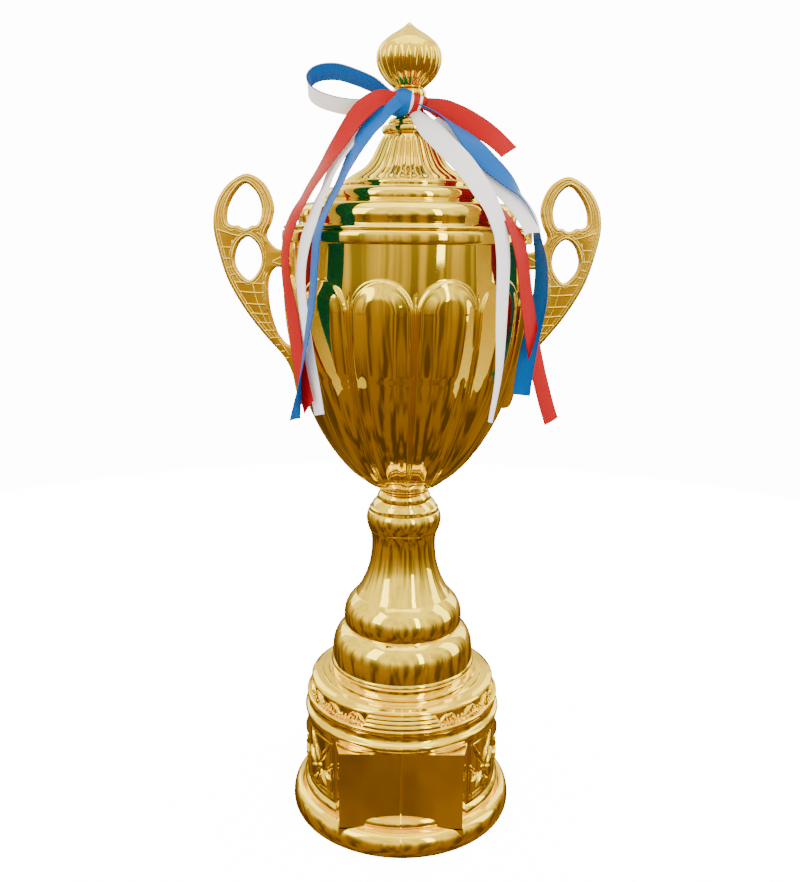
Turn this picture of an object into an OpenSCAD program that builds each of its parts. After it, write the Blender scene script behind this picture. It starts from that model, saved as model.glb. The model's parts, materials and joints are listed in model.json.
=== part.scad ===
// Cup trophy: plinth, stem, petalled bowl with two handles, and a lift-off lid with tied ribbons.
// Millimetres, +Z up. The origin is the centre of the foot, on the surface it stands on.

/* [Plinth] */
// Radius of the drum between foot and frieze
drum_r = 64.4; // [64:0.2:65]
// Radius of the foot flange
foot_r = 74; // [73.6:0.2:75]
// Half width of each flat block at its front edge
block_half_w = 39; // [36:0.5:40]
// Distance of each flat face from the axis
block_face_y = 62.5; // [62:0.5:63.5]
// Height of the top of the flat blocks
block_top_z = 66.5; // [62:0.5:67]

/* [Stem] */
// Radius of the lower dome
skirt_r = 46.8; // [46:0.2:47]
// Radius of the upper dome
step_r = 39; // [38.4:0.2:39.2]
// Radius of the knop under the bowl
knop_r = 24.4; // [24:0.2:25]

/* [Bowl] */
// Outer radius of the bowl wall under the rim
bowl_r = 72.8; // [72:0.2:73.4]
// Outer radius of the rolled rim
rim_r = 76; // [75.6:0.2:77]
// Height of the top of the rim
rim_z = 384; // [383.6:0.2:384]
// Thickness of the spun sheet of bowl, stem and lid
sheet_t = 1; // [0.8:0.1:1]
// Number of petals pressed into the bowl
petal_count = 12; // [8:1:16]

/* [Lid] */
// Radius of the lid flange that lies on the rim
flange_r = 75; // [74:0.5:75.5]
// Radius of the lower lid ring
ring_low_r = 66.4; // [66:0.2:67]
// Radius of the upper lid ring
ring_high_r = 52.6; // [52:0.2:53]
// Gap between the resting lid and the rim
lid_gap = 0.2; // [0.2:0.1:0.4]
// Largest radius of the onion finial
onion_r = 19.3; // [19:0.1:19.6]

/* [Handles] */
// Thickness of the cast handles
handle_t = 6; // [5:0.5:8]

/* [Ribbons] */
// Width of every ribbon
ribbon_w = 12.7; // [10:0.1:13]
// Thickness of each ribbon solid
ribbon_t = 0.8; // [0.6:0.1:1]

/* [Fasteners] */
// Diameter of the long tie rod
rod_d = 6; // [5:0.5:6]
// Diameter of the lid bolt
bolt_d = 5; // [4:0.5:5]
// Diameter of the handle screws
screw_d = 3; // [2.5:0.5:3]

/* [Hidden] */
$fn = 96;
gold = "gold";
deep_gold = "goldenrod";
steel = "silver";

// heights of the stacked pieces, from the floor up
plinth_top = 97.5;
skirt_top = 128;
step_top = 150;
column_top = 219.5;
bowl_base = 225;
bowl_floor = bowl_base + sheet_t;
rim_low = rim_z - 7.4;
lid_base = rim_z + lid_gap;
plate_top = 412;
bell_top = 438.6;
collar_top = 448.6;
neck_top = 465.2;
finial_tip = 502;
rod_hole_r = rod_d / 2 + 0.2;
bolt_hole_r = bolt_d / 2 + 0.2;

// ---- profile helpers -------------------------------------------------------------

// unit normal on the outer side of a profile that is walked upwards
function seg_normal(a, b) = let (d = b - a) [d[1], -d[0]] / norm(d);
function point_normal(p, i) =
    let (before = seg_normal(p[max(i - 1, 0)], p[max(i, 1)]),
         after = i < len(p) - 1 ? seg_normal(p[i], p[i + 1]) : before,
         both = before + after)
    both / max(1 + before * after, 0.5);
// closed outline of a sheet of thickness t inside an outer profile, with its lower end kept flat
function skin(p, t) = concat(p, [for (i = [len(p) - 1:-1:0])
    let (q = p[i] - t * point_normal(p, i)) [q[0], max(q[1], p[0][1])]]);
module spun(p) { rotate_extrude() polygon(p); }
module spun_sheet(p, t) { spun(skin(p, t)); }

// points on an arc, for round stretches of a profile
function arc(c, r, a0, a1, n) = [for (i = [0:n]) let (a = a0 + (a1 - a0) * i / n) c + r * [cos(a), sin(a)]];

// Catmull-Rom curve through points of any dimension
function knot_at(p, i, closed) = closed ? p[(i + len(p)) % len(p)] : p[min(max(i, 0), len(p) - 1)];
function spline_point(p, i, t, closed) =
    let (a = knot_at(p, i - 1, closed), b = knot_at(p, i, closed),
         c = knot_at(p, i + 1, closed), d = knot_at(p, i + 2, closed))
    0.5 * (2 * b + (c - a) * t + (2 * a - 5 * b + 4 * c - d) * t * t + (3 * b - a - 3 * c + d) * t * t * t);
function spline(p, n, closed = false) =
    [for (i = [0:len(p) - (closed ? 1 : 2)], j = [0:n - 1]) spline_point(p, i, j / n, closed)];

// ---- plinth ----------------------------------------------------------------------

plinth_cavity_r = 61.8;
pillar_low = 34;
cover_r = 69.6;
cover_low = 1.5;
cover_high = 4.5;
cover_screw_r = 58.5;
cover_screw_turns = [20, 160, 200, 340];
panel_low = 25;
panel_high = 65;
frieze_low = 82.5;
bead_top = 21.6;
frieze_high = 90.5;

plinth_profile = concat(
    [[0, 0], [foot_r - 2.6, 0], [foot_r - 0.6, 1.2], [foot_r, 3], [foot_r, 7], [foot_r - 0.7, 10.5],
     [foot_r - 2.5, 13.2], [foot_r - 5, 14.2], [drum_r + 1.2, 14.6], [drum_r, 14.9], [drum_r, 15.2]],
    arc([drum_r - 1.1, 18.3], 3.2, -65, 65, 6),
    [[drum_r, 68.6], [drum_r + 0.9, 69.6], [drum_r + 1.1, 71.2], [drum_r + 0.3, 72.6], [drum_r - 1.6, 74.2],
     [drum_r - 2, 77], [drum_r - 1.2, 79.4], [drum_r - 0.4, 80.2], [drum_r - 0.6, 82], [drum_r - 1.4, frieze_low],
     [drum_r - 4.2, frieze_low + 0.6], [drum_r - 4.2, frieze_high], [drum_r - 3.6, 91.4], [drum_r - 4.4, 93.2],
     [57, 94.9], [53.4, 95.3], [52.4, 96.4], [49.2, 96.7], [48.4, plinth_top], [0, plinth_top]]);
cavity_profile = [
    [0, -1], [foot_r - 4.2, -1], [foot_r - 4.2, cover_high], [67.4, cover_high], [66, 10.5],
    [plinth_cavity_r, 14], [plinth_cavity_r, 76], [57, 82], [57, 90], [50, 92.4], [0, plinth_top - 3]];

// flat block whose side walls splay towards the drum
module block(inset, low, high) {
    translate([0, 0, low]) linear_extrude(high - low)
        polygon([[-block_half_w + inset, -block_face_y + inset], [block_half_w - inset, -block_face_y + inset],
                 [block_half_w + 3 - inset, -block_face_y + 14], [-block_half_w - 3 + inset, -block_face_y + 14]]);
}
// part of a ring between two angles from the front, r and z ranges given
module ring_piece(r0, r1, z0, z1, a0, a1) {
    rotate([0, 0, a0 - 90]) rotate_extrude(angle = a1 - a0)
        polygon([[r0, z0], [r1, z0], [r1, z1], [r0, z1]]);
}

module base_shell() {
    color(gold) difference() {
        union() {
            spun(plinth_profile);
            for (turn = [0, 180]) rotate([0, 0, turn]) {
                block(0, 2, block_top_z);
                for (ridge = [0:2])
                    ring_piece(57, drum_r - 2.9 + 0.5 * ridge, 89.2 - 2.6 * ridge, 90.8 - 2.6 * ridge,
                               -20 - ridge, 20 + ridge);
            }
        }
        difference() {
            spun(cavity_profile);
            cylinder(h = plinth_top, r = 8.5);
            for (turn = cover_screw_turns) rotate([0, 0, turn]) translate([cover_screw_r, 0, cover_high])
                cylinder(h = 20, r = 4.6);
        }
        for (turn = [0, 180]) rotate([0, 0, turn]) {
            block(2.2, cover_high, block_top_z - 2.2);
            // the drum is cut flush with the flat face above the bead
            translate([-block_half_w, -foot_r, bead_top])
                cube([2 * block_half_w, foot_r - block_face_y, block_top_z - bead_top]);
        }
        for (side = [0, 180]) ring_piece(drum_r - 0.8, drum_r + 8, panel_low, panel_high, 47 + side, 133 + side);
        translate([0, 0, -1]) cylinder(h = pillar_low + 1, r = 9);
        translate([0, 0, -1]) cylinder(h = plinth_top + 2, r = rod_hole_r);
        for (turn = cover_screw_turns) rotate([0, 0, turn]) translate([cover_screw_r, 0, 0])
            cylinder(h = 14, r = screw_d / 2);
    }
}

module base_weight() {
    color("dimgray") difference() {
        translate([0, 0, 18]) cylinder(h = pillar_low - 18, r = 50);
        cylinder(h = 60, r = rod_hole_r);
    }
}

module washer(z, r, t, hole) {
    color(steel) translate([0, 0, z]) difference() {
        cylinder(h = t, r = r);
        translate([0, 0, -1]) cylinder(h = t + 2, r = hole);
    }
}
module hex_nut(z, flats, t, hole) {
    color(steel) translate([0, 0, z]) difference() {
        cylinder(h = t, r = flats / sqrt(3), $fn = 6);
        translate([0, 0, -1]) cylinder(h = t + 2, r = hole);
    }
}

module base_washer() { washer(16.5, 12, 1.5, rod_hole_r); }
module base_nut() { hex_nut(11.5, 10, 5, rod_d / 2); }

module base_cover() {
    color("sienna") difference() {
        translate([0, 0, cover_low]) cylinder(h = cover_high - cover_low, r = cover_r);
        for (turn = cover_screw_turns) rotate([0, 0, turn]) translate([cover_screw_r, 0, 0]) {
            cylinder(h = 10, r = screw_d / 2 + 0.1);
            cylinder(h = cover_low + 1.6, r = 3.4);
        }
    }
}
module base_pad() { color("darkslategray") cylinder(h = cover_low, r = cover_r - 0.4); }

module pan_screw(d, shank, head_r, head_t) {
    cylinder(h = shank, r = d / 2);
    translate([0, 0, -head_t]) cylinder(h = head_t, r = head_r);
}
module cover_screws() {
    color(steel) for (turn = cover_screw_turns) rotate([0, 0, turn])
        translate([cover_screw_r, 0, cover_low + 1.6]) pan_screw(screw_d, 9, 2.8, 1.5);
}

// ---- stem ------------------------------------------------------------------------

skirt_profile = [
    [skirt_r + 0.2, plinth_top], [skirt_r - 0.2, 100.8], [skirt_r + 0.7, 101.8], [skirt_r + 0.9, 103.2],
    [skirt_r + 0.2, 104.4], [skirt_r, 108], [skirt_r - 0.2, 113], [skirt_r - 1, 118], [skirt_r - 2.8, 122.4],
    [skirt_r - 5.6, 126], [skirt_r - 7.9, skirt_top], [rod_hole_r, skirt_top]];
step_profile = [
    [step_r - 1, skirt_top], [step_r - 0.1, 131], [step_r, 135], [step_r - 0.7, 139.6], [step_r - 2.7, 144.2],
    [step_r - 5.2, 147.4], [step_r - 7.2, step_top], [rod_hole_r, step_top]];
column_profile = [
    [31.4, step_top], [29.6, 152.6], [27.6, 156], [24.7, 162.4], [22.5, 169.4], [21.2, 177], [20.8, 185],
    [21.3, 190], [22.4, 193.4], [knop_r - 0.9, 196.6], [knop_r, 201], [knop_r - 0.6, 204.6], [22.9, 207],
    [22.1, 207.4], [21.9, 209], [21, 209.8], [19.9, 211.8], [18.2, 214.2], [17.2, 214.8], [16.8, 216.4],
    [15.4, column_top], [rod_hole_r, column_top]];

module stem_skirt() { color(gold) spun_sheet(skirt_profile, sheet_t); }
module stem_step() { color(gold) spun_sheet(step_profile, sheet_t); }
module stem_column() { color(gold) spun_sheet(column_profile, sheet_t); }

module tie_rod() { color(steel) translate([0, 0, 8]) cylinder(h = bowl_floor + 9 - 8, r = rod_d / 2); }

// ---- bowl ------------------------------------------------------------------------

bowl_belt = 355;
bowl_drop = 138.5;
bowl_power = 0.55;
// outer radius of the bowl at a height: a rounded cup below the belt, straight above it
function bowl_radius(z) =
    z >= bowl_belt ? bowl_r : bowl_r * pow(1 - pow((bowl_belt - z) / bowl_drop, 2), bowl_power);
function bowl_slope(z) = atan((bowl_radius(z + 1) - bowl_radius(z - 1)) / 2);
bowl_heights = [225, 227, 230, 234, 239, 245, 252, 260, 270, 282, 296, 312, 330, bowl_belt];
bowl_profile = concat(
    [[rod_hole_r, bowl_base]], [for (z = bowl_heights) [bowl_radius(z), z]], [[bowl_r, rim_low]]);
rim_profile = [
    [bowl_r - sheet_t, rim_low], [rim_r - 0.9, rim_low], [rim_r, rim_low + 1], [rim_r, rim_z - 1.6],
    [rim_r - 1.4, rim_z], [bowl_r - sheet_t, rim_z]];
petal_top = 340;

module bowl_ring() {
    color(deep_gold) spun([[rod_hole_r, column_top], [15.2, column_top], [15.2, 221.5], [16.2, 223.6],
                           [17.4, bowl_base], [rod_hole_r, bowl_base]]);
}
// raised rib between two petals
module petal_rib(turn) {
    rib = [for (z = bowl_heights) if (z > 226 && z < petal_top) [bowl_radius(z), z]];
    rotate([0, 0, turn - 1.2]) rotate_extrude(angle = 2.4)
        polygon(concat([for (p = rib) p + [0.9, -0.4]], [for (i = [len(rib) - 1:-1:0]) rib[i] - [0.4, -0.2]]));
}
module bowl() {
    color(gold) difference() {
        union() {
            spun_sheet(bowl_profile, sheet_t);
            spun(rim_profile);
            for (i = [0:petal_count - 1]) petal_rib(360 / petal_count * i + 90);
        }
        handle_screw_holes();
    }
}
module bowl_washer() { washer(bowl_floor, 13, 1.5, rod_hole_r); }
module bowl_nut() { hex_nut(bowl_floor + 1.5, 10, 5, rod_d / 2); }

// ---- handles ---------------------------------------------------------------------

// outline of the right handle in the X-Z plane, and its two finger holes
handle_outline = [
    [98.5, 416], [109, 409.5], [115.8, 399], [118, 387], [116.2, 374], [110, 353], [99, 333.5], [87, 318],
    [76.5, 306], [71.5, 296], [69, 284], [66, 276.4], [60, 273.6], [54, 278], [56, 300], [64, 320],
    [75, 313.5], [80.2, 321], [84, 333], [85.4, 345], [84.6, 355], [81, 360.4], [74, 361], [68, 361],
    [68, 371], [76, 371.2], [82, 373.4], [85.6, 380], [82.4, 388], [81, 397], [84.4, 407.5], [90.5, 414]];
upper_hole = [[98, 410.4], [104.6, 404.6], [109, 396], [109.6, 388], [105, 385.4], [99.5, 384.6], [93, 385.8],
              [89.4, 390], [88.4, 397], [91.4, 405.4]];
lower_hole = [[97, 379], [102.8, 375], [105.7, 366], [103.6, 358.4], [97.4, 353], [92, 357.4], [89, 365.4],
              [91.2, 374.4]];
screw_heights = [366, 281];

module handle_plate() {
    rotate([90, 0, 0]) linear_extrude(handle_t, center = true) difference() {
        polygon(spline(handle_outline, 3, true));
        polygon(spline(upper_hole, 4, true));
        polygon(spline(lower_hole, 4, true));
    }
}
// solid outer form of the bowl, cut from the handles so that they seat on its wall
module bowl_form() {
    spun(concat([[0, bowl_base]], [for (z = bowl_heights) [bowl_radius(z), z]], [[bowl_r, rim_z], [0, rim_z]]));
}
// places a child on the bowl wall, its +Z along the outward normal
module on_wall(z, side) {
    rotate([0, 0, side]) translate([bowl_radius(z), 0, z]) rotate([0, 90 + bowl_slope(z), 0]) children();
}
module handle_screw_holes() {
    for (side = [0, 180], z = screw_heights) on_wall(z, side)
        translate([0, 0, -6]) cylinder(h = 12, r = screw_d / 2 + 0.1);
}
module handle(side) {
    color("wheat") rotate([0, 0, side]) difference() {
        handle_plate();
        bowl_form();
        petal_rib(0);
        for (z = screw_heights) on_wall(z, 0) translate([0, 0, -3]) cylinder(h = 8.6, r = screw_d / 2);
    }
}
module handle_right() { handle(0); }
module handle_left() { handle(180); }

module handle_washers() {
    color(steel) for (side = [0, 180], z = screw_heights) on_wall(z, side)
        translate([0, 0, -sheet_t - 1]) difference() {
            cylinder(h = 0.8, r = 3.6);
            translate([0, 0, -1]) cylinder(h = 3, r = screw_d / 2 + 0.1);
        }
}
module handle_screws() {
    color(steel) for (side = [0, 180], z = screw_heights) on_wall(z, side)
        translate([0, 0, -sheet_t - 1]) pan_screw(screw_d, sheet_t + 6, 2.8, 2);
}

// ---- lid -------------------------------------------------------------------------

lid_profile = [
    [flange_r - 0.6, lid_base], [flange_r, lid_base + 1], [flange_r - 0.6, lid_base + 2],
    [ring_low_r - 1, lid_base + 2.6], [ring_low_r, 389.6], [ring_low_r + 0.2, 392.4], [ring_low_r - 0.6, 395.6],
    [ring_low_r - 2.6, 398], [ring_low_r - 5.6, 399.2], [ring_high_r + 3, 399.4], [ring_high_r - 0.6, 400.2],
    [ring_high_r, 401.8], [ring_high_r, 404.2], [ring_high_r - 1.2, 406.4], [ring_high_r - 3.6, 407.8],
    [42.4, 408.2], [41.4, 409], [41.2, 411.2], [40.4, plate_top], [bolt_hole_r, plate_top]];
bell_profile = [
    [37.6, plate_top], [36.8, 413.6], [34.6, 415.4], [30.4, 417.8], [26.2, 420.6], [23.2, 423.8], [21, 427.4],
    [19, 431.4], [17.2, 435], [15, bell_top], [bolt_hole_r, bell_top]];

module lid_shell() {
    color(gold) {
        spun_sheet(lid_profile, sheet_t);
        // locating ring that drops inside the bowl
        spun([[bowl_r - 3.4, lid_base - 5], [bowl_r - 2.4, lid_base - 5], [bowl_r - 2.4, lid_base + 1.4],
              [bowl_r - 3.4, lid_base + 1.4]]);
    }
}
module lid_bell() {
    color(gold) spun_sheet(bell_profile, sheet_t);
}
module lid_collar() {
    color(gold) spun([[bolt_hole_r, bell_top], [14.2, bell_top], [15.2, 439.8], [15.7, 442], [15.2, 444.2],
                      [13.2, 444.8], [11.4, 445.2], [11.9, 446.4], [11.4, 447.8], [9.4, collar_top],
                      [bolt_hole_r, collar_top]]);
}
module finial_neck() {
    color(gold) spun([[bolt_hole_r, collar_top], [7.4, collar_top], [6.4, 450.4], [6.1, 454], [6.6, 457],
                      [8.4, 459], [9.8, 460.4], [10.3, 462.2], [9.8, 464], [8.8, neck_top], [bolt_hole_r, neck_top]]);
}
insert_r = 4;
insert_h = 13;
finial_profile = [
    [0, neck_top], [8.6, neck_top], [10.6, 467.4], [13.8, 470], [16.8, 474], [onion_r - 0.6, 478.6],
    [onion_r, 483], [onion_r - 0.8, 486.8], [16.4, 490], [12.6, 493.4], [9, 496], [5.8, 498], [3.2, 499.8],
    [1.2, 501.2], [0, finial_tip]];
module finial() {
    color(gold) difference() {
        spun(finial_profile);
        translate([0, 0, neck_top - 1]) cylinder(h = insert_h + 1, r = insert_r);
        translate([0, 0, neck_top]) cylinder(h = insert_h + 3, r = bolt_hole_r);
    }
}
module finial_insert() {
    color("darkgoldenrod") translate([0, 0, neck_top]) difference() {
        cylinder(h = insert_h, r = insert_r);
        translate([0, 0, -1]) cylinder(h = insert_h + 2, r = bolt_d / 2);
    }
}
lid_inner = plate_top - sheet_t;
module lid_washer() { washer(lid_inner - 1.4, 9, 1.4, bolt_hole_r); }
module lid_bolt() {
    color(steel) {
        translate([0, 0, lid_inner - 1.4]) cylinder(h = neck_top + insert_h - lid_inner + 2.4, r = bolt_d / 2);
        translate([0, 0, lid_inner - 1.4 - 3.5]) cylinder(h = 3.5, r = 8 / sqrt(3), $fn = 6);
    }
}

// ---- ribbons ---------------------------------------------------------------------

// each point is x, y, z and the direction the face looks, in degrees from the front
red_left_path = [
    [-11, -8, 459, -20], [-18, -10, 459, -20], [-24, -14, 455, -35], [-30, -18, 448, -40], [-34, -22, 441, -45],
    [-39, -27, 434, -50], [-43, -31, 427, -55], [-47, -36, 420, -60], [-51, -40, 413, -64], [-55, -43, 407, -68],
    [-59, -46, 400, -72], [-63, -48, 394, -76], [-66, -47, 387, -78], [-69, -44, 380, -80], [-71, -40, 367, -82],
    [-70, -40, 353, -80], [-68, -43, 339, -75], [-65, -46, 325, -68], [-63, -51, 312, -62], [-59, -57, 298, -60],
    [-55, -62, 285, -62]];
white_left_path = [
    [-10, -8, 456, -25], [-19, -11, 452, -30], [-27, -18, 444, -40], [-33, -24, 435, -45], [-37, -29, 427, -48],
    [-41, -36, 420, -50], [-44, -41, 413, -52], [-47, -47, 406, -54], [-50, -51, 400, -56], [-53, -54, 393, -58],
    [-55, -56, 387, -60], [-58, -55, 380, -62], [-61, -52, 368, -64], [-62, -50, 354, -64], [-61, -51, 340, -62],
    [-58, -54, 326, -60], [-55, -57, 312, -58], [-52, -60, 298, -58], [-49, -63, 281, -60]];
blue_left_path = [
    [-8, -12, 456, -20], [-12, -17, 452, -30], [-16, -22, 447, -35], [-22, -27, 441, -40], [-26, -33, 434, -45],
    [-30, -37, 427, -50], [-33, -42, 420, -56], [-37, -48, 413, -62], [-39, -54, 406, -68], [-43, -58, 400, -72],
    [-47, -62, 393, -76], [-49, -65, 387, -78], [-52, -66, 380, -79], [-53, -65, 368, -80], [-54, -63, 354, -80],
    [-55, -61, 341, -80], [-57, -61, 327, -82], [-58, -61, 312, -90], [-60, -62, 298, -104], [-62, -63, 284, -116],
    [-63, -63, 278, -120]];
red_short_path = [
    [8, -10, 456, 20], [13, -12, 455, 22], [23, -16, 451, 25], [33, -18, 447, 28], [43, -19, 441, 30],
    [50, -21, 436, 32], [58, -25, 428, 34]];
blue_right_path = [
    [6, -12, 454, 80], [13, -15, 450, 75], [23, -22, 443, 60], [30, -26, 437, 40], [38, -31, 430, 30],
    [45, -34, 422, 34], [53, -37, 415, 46], [60, -38, 408, 66], [65, -39, 402, 84], [70, -40, 394, 96],
    [73, -38, 387, 104], [75, -36, 378, 112], [78, -33, 367, 120], [79, -30, 353, 124], [78.5, -30, 338, 126],
    [76, -35, 326, 126], [74, -39, 310, 124], [72, -43, 290, 122]];
white_right_path = [
    [3, -14, 453, 0], [9, -19, 447, 5], [16, -25, 439, 8], [23, -31, 430, 10], [29, -38, 423, 14],
    [35, -46, 415, 18], [40, -52, 407, 24], [45, -56, 399, 32], [48, -60, 392, 40], [51, -61, 384, 46],
    [52, -62, 377, 48], [53, -62, 366, 50], [53, -61, 353, 52], [53, -60, 340, 54], [53, -60, 326, 58],
    [53, -60, 312, 64], [52, -61, 298, 70], [48, -65, 278, 74]];
red_right_path = [
    [5, -10, 450, 40], [12, -14, 446, 45], [21, -19, 440, 50], [28, -25, 432, 56], [35, -32, 422, 62],
    [41, -38, 413, 68], [46, -43, 406, 72], [51, -48, 399, 72], [56, -52, 391, 68], [60, -55, 383, 65],
    [63, -54, 373, 62], [65, -52, 366, 60], [67, -48, 353, 57], [70, -44, 339, 54], [73, -40, 325, 50],
    [77, -34, 309, 47], [82, -27, 293, 44], [88, -19, 276, 42], [91, -15, 269, 42]];
white_short_path = [
    [16, -16, 447, 40], [26, -22, 438, 42], [35, -27, 429, 45], [44, -33, 418, 48], [50, -37, 411, 50],
    [57, -41, 404, 52], [63, -44, 397, 54], [68, -46, 390, 56], [70, -48, 383, 56]];
// the loop turns back under itself, so its points give the whole face direction instead
loop_path = [
    [-9, -4, 460], [-20, -3, 466], [-30, -4, 471], [-41, -5, 474], [-49, -7, 473.5], [-55, -8, 471],
    [-58.5, -9, 466.5], [-56, -11, 460.5], [-48, -13, 456], [-38, -13, 453.5], [-28, -12, 453], [-11, -9, 456]];
loop_tilt = 35;

// frame of a flat strip: half-width and half-thickness vectors at each point
function unit(v) = v / norm(v);
function tangent(p, i) = unit(p[min(i + 1, len(p) - 1)] - p[max(i - 1, 0)]);
function strip_ring(p, t, face) =
    let (across = unit(cross(t, face)), out = cross(across, t))
    [p - across * ribbon_w / 2 - out * ribbon_t / 2, p + across * ribbon_w / 2 - out * ribbon_t / 2,
     p + across * ribbon_w / 2 + out * ribbon_t / 2, p - across * ribbon_w / 2 + out * ribbon_t / 2];
module strip_solid(rings) {
    n = len(rings);
    sides = [for (i = [0:n - 2], j = [0:3], half = [0, 1])
        let (a = 4 * i + j, b = 4 * i + (j + 1) % 4, c = b + 4, d = a + 4) half == 0 ? [a, c, b] : [a, d, c]];
    ends = [[0, 1, 2], [0, 2, 3], [4 * n - 4, 4 * n - 2, 4 * n - 3], [4 * n - 4, 4 * n - 1, 4 * n - 2]];
    polyhedron([for (r = rings) each r], concat(sides, ends));
}
module ribbon(path) {
    fine = concat(spline(path, 2), [path[len(path) - 1]]);
    places = [for (q = fine) [q[0], q[1], q[2]]];
    strip_solid([for (i = [0:len(fine) - 1])
        strip_ring(places[i], tangent(places, i), [sin(fine[i][3]), -cos(fine[i][3]), 0])]);
}
module ribbon_red_left() { color("red") ribbon(red_left_path); }
module ribbon_white_left() { color("white") ribbon(white_left_path); }
module ribbon_blue_left() { color("dodgerblue") ribbon(blue_left_path); }
module ribbon_red_short() { color("red") ribbon(red_short_path); }
module ribbon_blue_right() { color("dodgerblue") ribbon(blue_right_path); }
module ribbon_white_right() { color("white") ribbon(white_right_path); }
module ribbon_red_right() { color("red") ribbon(red_right_path); }
module ribbon_white_short() { color("white") ribbon(white_short_path); }
module ribbon_loop() {
    fine = concat(spline(loop_path, 3), [loop_path[len(loop_path) - 1]]);
    lean = [0, -cos(loop_tilt), sin(loop_tilt)];
    color("dodgerblue") strip_solid([for (i = [0:len(fine) - 1])
        let (t = tangent(fine, i)) strip_ring(fine[i], t, cross(t, lean))]);
}
module ribbon_knot() {
    color("dodgerblue") {
        spun([[6.7, 450.4], [10.4, 450.4], [12.4, 452.4], [12.4, 455], [10.6, 456.8], [6.7, 456.8]]);
        translate([-3, -7.5, 454]) rotate([90, 0, 0]) cylinder(h = 7, r = 4.6);
    }
}

// ---- assembly --------------------------------------------------------------------

base_shell();
base_weight();
base_washer();
base_nut();
base_cover();
base_pad();
cover_screws();
stem_skirt();
stem_step();
stem_column();
tie_rod();
bowl_ring();
bowl();
bowl_washer();
bowl_nut();
handle_left();
handle_right();
handle_washers();
handle_screws();
lid_shell();
lid_bell();
lid_collar();
finial_neck();
finial();
finial_insert();
lid_washer();
lid_bolt();
ribbon_knot();
ribbon_loop();
ribbon_red_left();
ribbon_white_left();
ribbon_blue_left();
ribbon_red_short();
ribbon_blue_right();
ribbon_white_right();
ribbon_red_right();
ribbon_white_short();
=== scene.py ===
"""Looks of a gilt cup trophy with a lift-off lid and tied satin ribbons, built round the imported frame.

Every piece is a surface worked out with numpy in the frame's own metres. The helper `MM` turns the
millimetres in which the sizes are written into metres when a mesh is made.
"""

import json
import logging
import math
from dataclasses import dataclass, field
from enum import Enum

import bmesh
import bpy
import numpy as np
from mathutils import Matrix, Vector

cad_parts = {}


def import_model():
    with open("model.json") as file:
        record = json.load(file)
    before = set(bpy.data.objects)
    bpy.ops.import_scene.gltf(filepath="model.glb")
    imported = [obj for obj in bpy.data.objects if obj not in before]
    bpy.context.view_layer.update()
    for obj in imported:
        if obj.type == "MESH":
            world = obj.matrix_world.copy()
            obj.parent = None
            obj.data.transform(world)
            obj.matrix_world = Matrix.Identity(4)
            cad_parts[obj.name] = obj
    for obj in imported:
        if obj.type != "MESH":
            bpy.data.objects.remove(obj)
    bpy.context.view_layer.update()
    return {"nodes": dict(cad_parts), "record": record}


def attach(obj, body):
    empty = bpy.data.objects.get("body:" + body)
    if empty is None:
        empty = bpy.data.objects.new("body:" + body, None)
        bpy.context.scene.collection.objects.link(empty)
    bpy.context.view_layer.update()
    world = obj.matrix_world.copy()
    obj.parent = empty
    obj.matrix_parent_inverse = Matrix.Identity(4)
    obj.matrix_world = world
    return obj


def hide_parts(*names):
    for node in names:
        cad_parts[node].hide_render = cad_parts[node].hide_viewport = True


MM = 0.001
log = logging.getLogger("trophy")

Array = np.ndarray


class Body(Enum):
    """The two rigid bodies of the frame."""

    CUP = "cup"
    LID = "lid"


class Slot(Enum):
    """Material slots of the record."""

    SHEET = "gold_sheet"
    PLASTIC = "gold_plastic"
    CAST = "gold_cast"
    INSERT = "brass_insert"
    STEEL = "zinc_steel"
    IRON = "iron"
    BOARD = "board"
    FELT = "felt"
    RED = "ribbon_red"
    WHITE = "ribbon_white"
    BLUE = "ribbon_blue"


# ---------------------------------------------------------------- curves and profiles


def spline(points: Array, per: int, closed: bool = False) -> Array:
    """A Catmull-Rom curve through points: a cubic between each pair, with tangents half the neighbours' step.

    Args:
        points: (n, d) control points.
        per: samples for each span.
        closed: joins the last point to the first.

    Returns:
        (m, d) samples; the last control point is kept on an open curve.
    """
    p = np.asarray(points, float)
    n = len(p)
    spans = n if closed else n - 1
    i = np.repeat(np.arange(spans), per)
    t = np.tile(np.arange(per) / per, spans)[:, None]

    def pick(k: Array) -> Array:
        """Control points by index, wrapped or held at the ends."""
        return p[k % n] if closed else p[np.clip(k, 0, n - 1)]

    a, b, c, d = pick(i - 1), pick(i), pick(i + 1), pick(i + 2)
    out = 0.5 * (2 * b + (c - a) * t + (2 * a - 5 * b + 4 * c - d) * t**2 + (3 * b - a - 3 * c + d) * t**3)
    return out if closed else np.vstack([out, p[-1]])


def eased(points: Array, per: int) -> Array:
    """A uniform cubic B-spline that runs near its points and ends on the first and last of them.

    Args:
        points: (n, d) control points.
        per: samples for each span.

    Returns:
        (m, d) samples.
    """
    p = np.asarray(points, float)
    p = np.vstack([2 * p[0] - p[1], p, 2 * p[-1] - p[-2]])
    i = np.repeat(np.arange(1, len(p) - 2), per)
    t = np.tile(np.arange(per) / per, len(p) - 3)[:, None]
    a, b, c, d = p[i - 1], p[i], p[i + 1], p[i + 2]
    out = ((1 - t) ** 3 * a + (3 * t**3 - 6 * t**2 + 4) * b + (-3 * t**3 + 3 * t**2 + 3 * t + 1) * c + t**3 * d) / 6
    return np.vstack([out, p[-2]])


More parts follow.
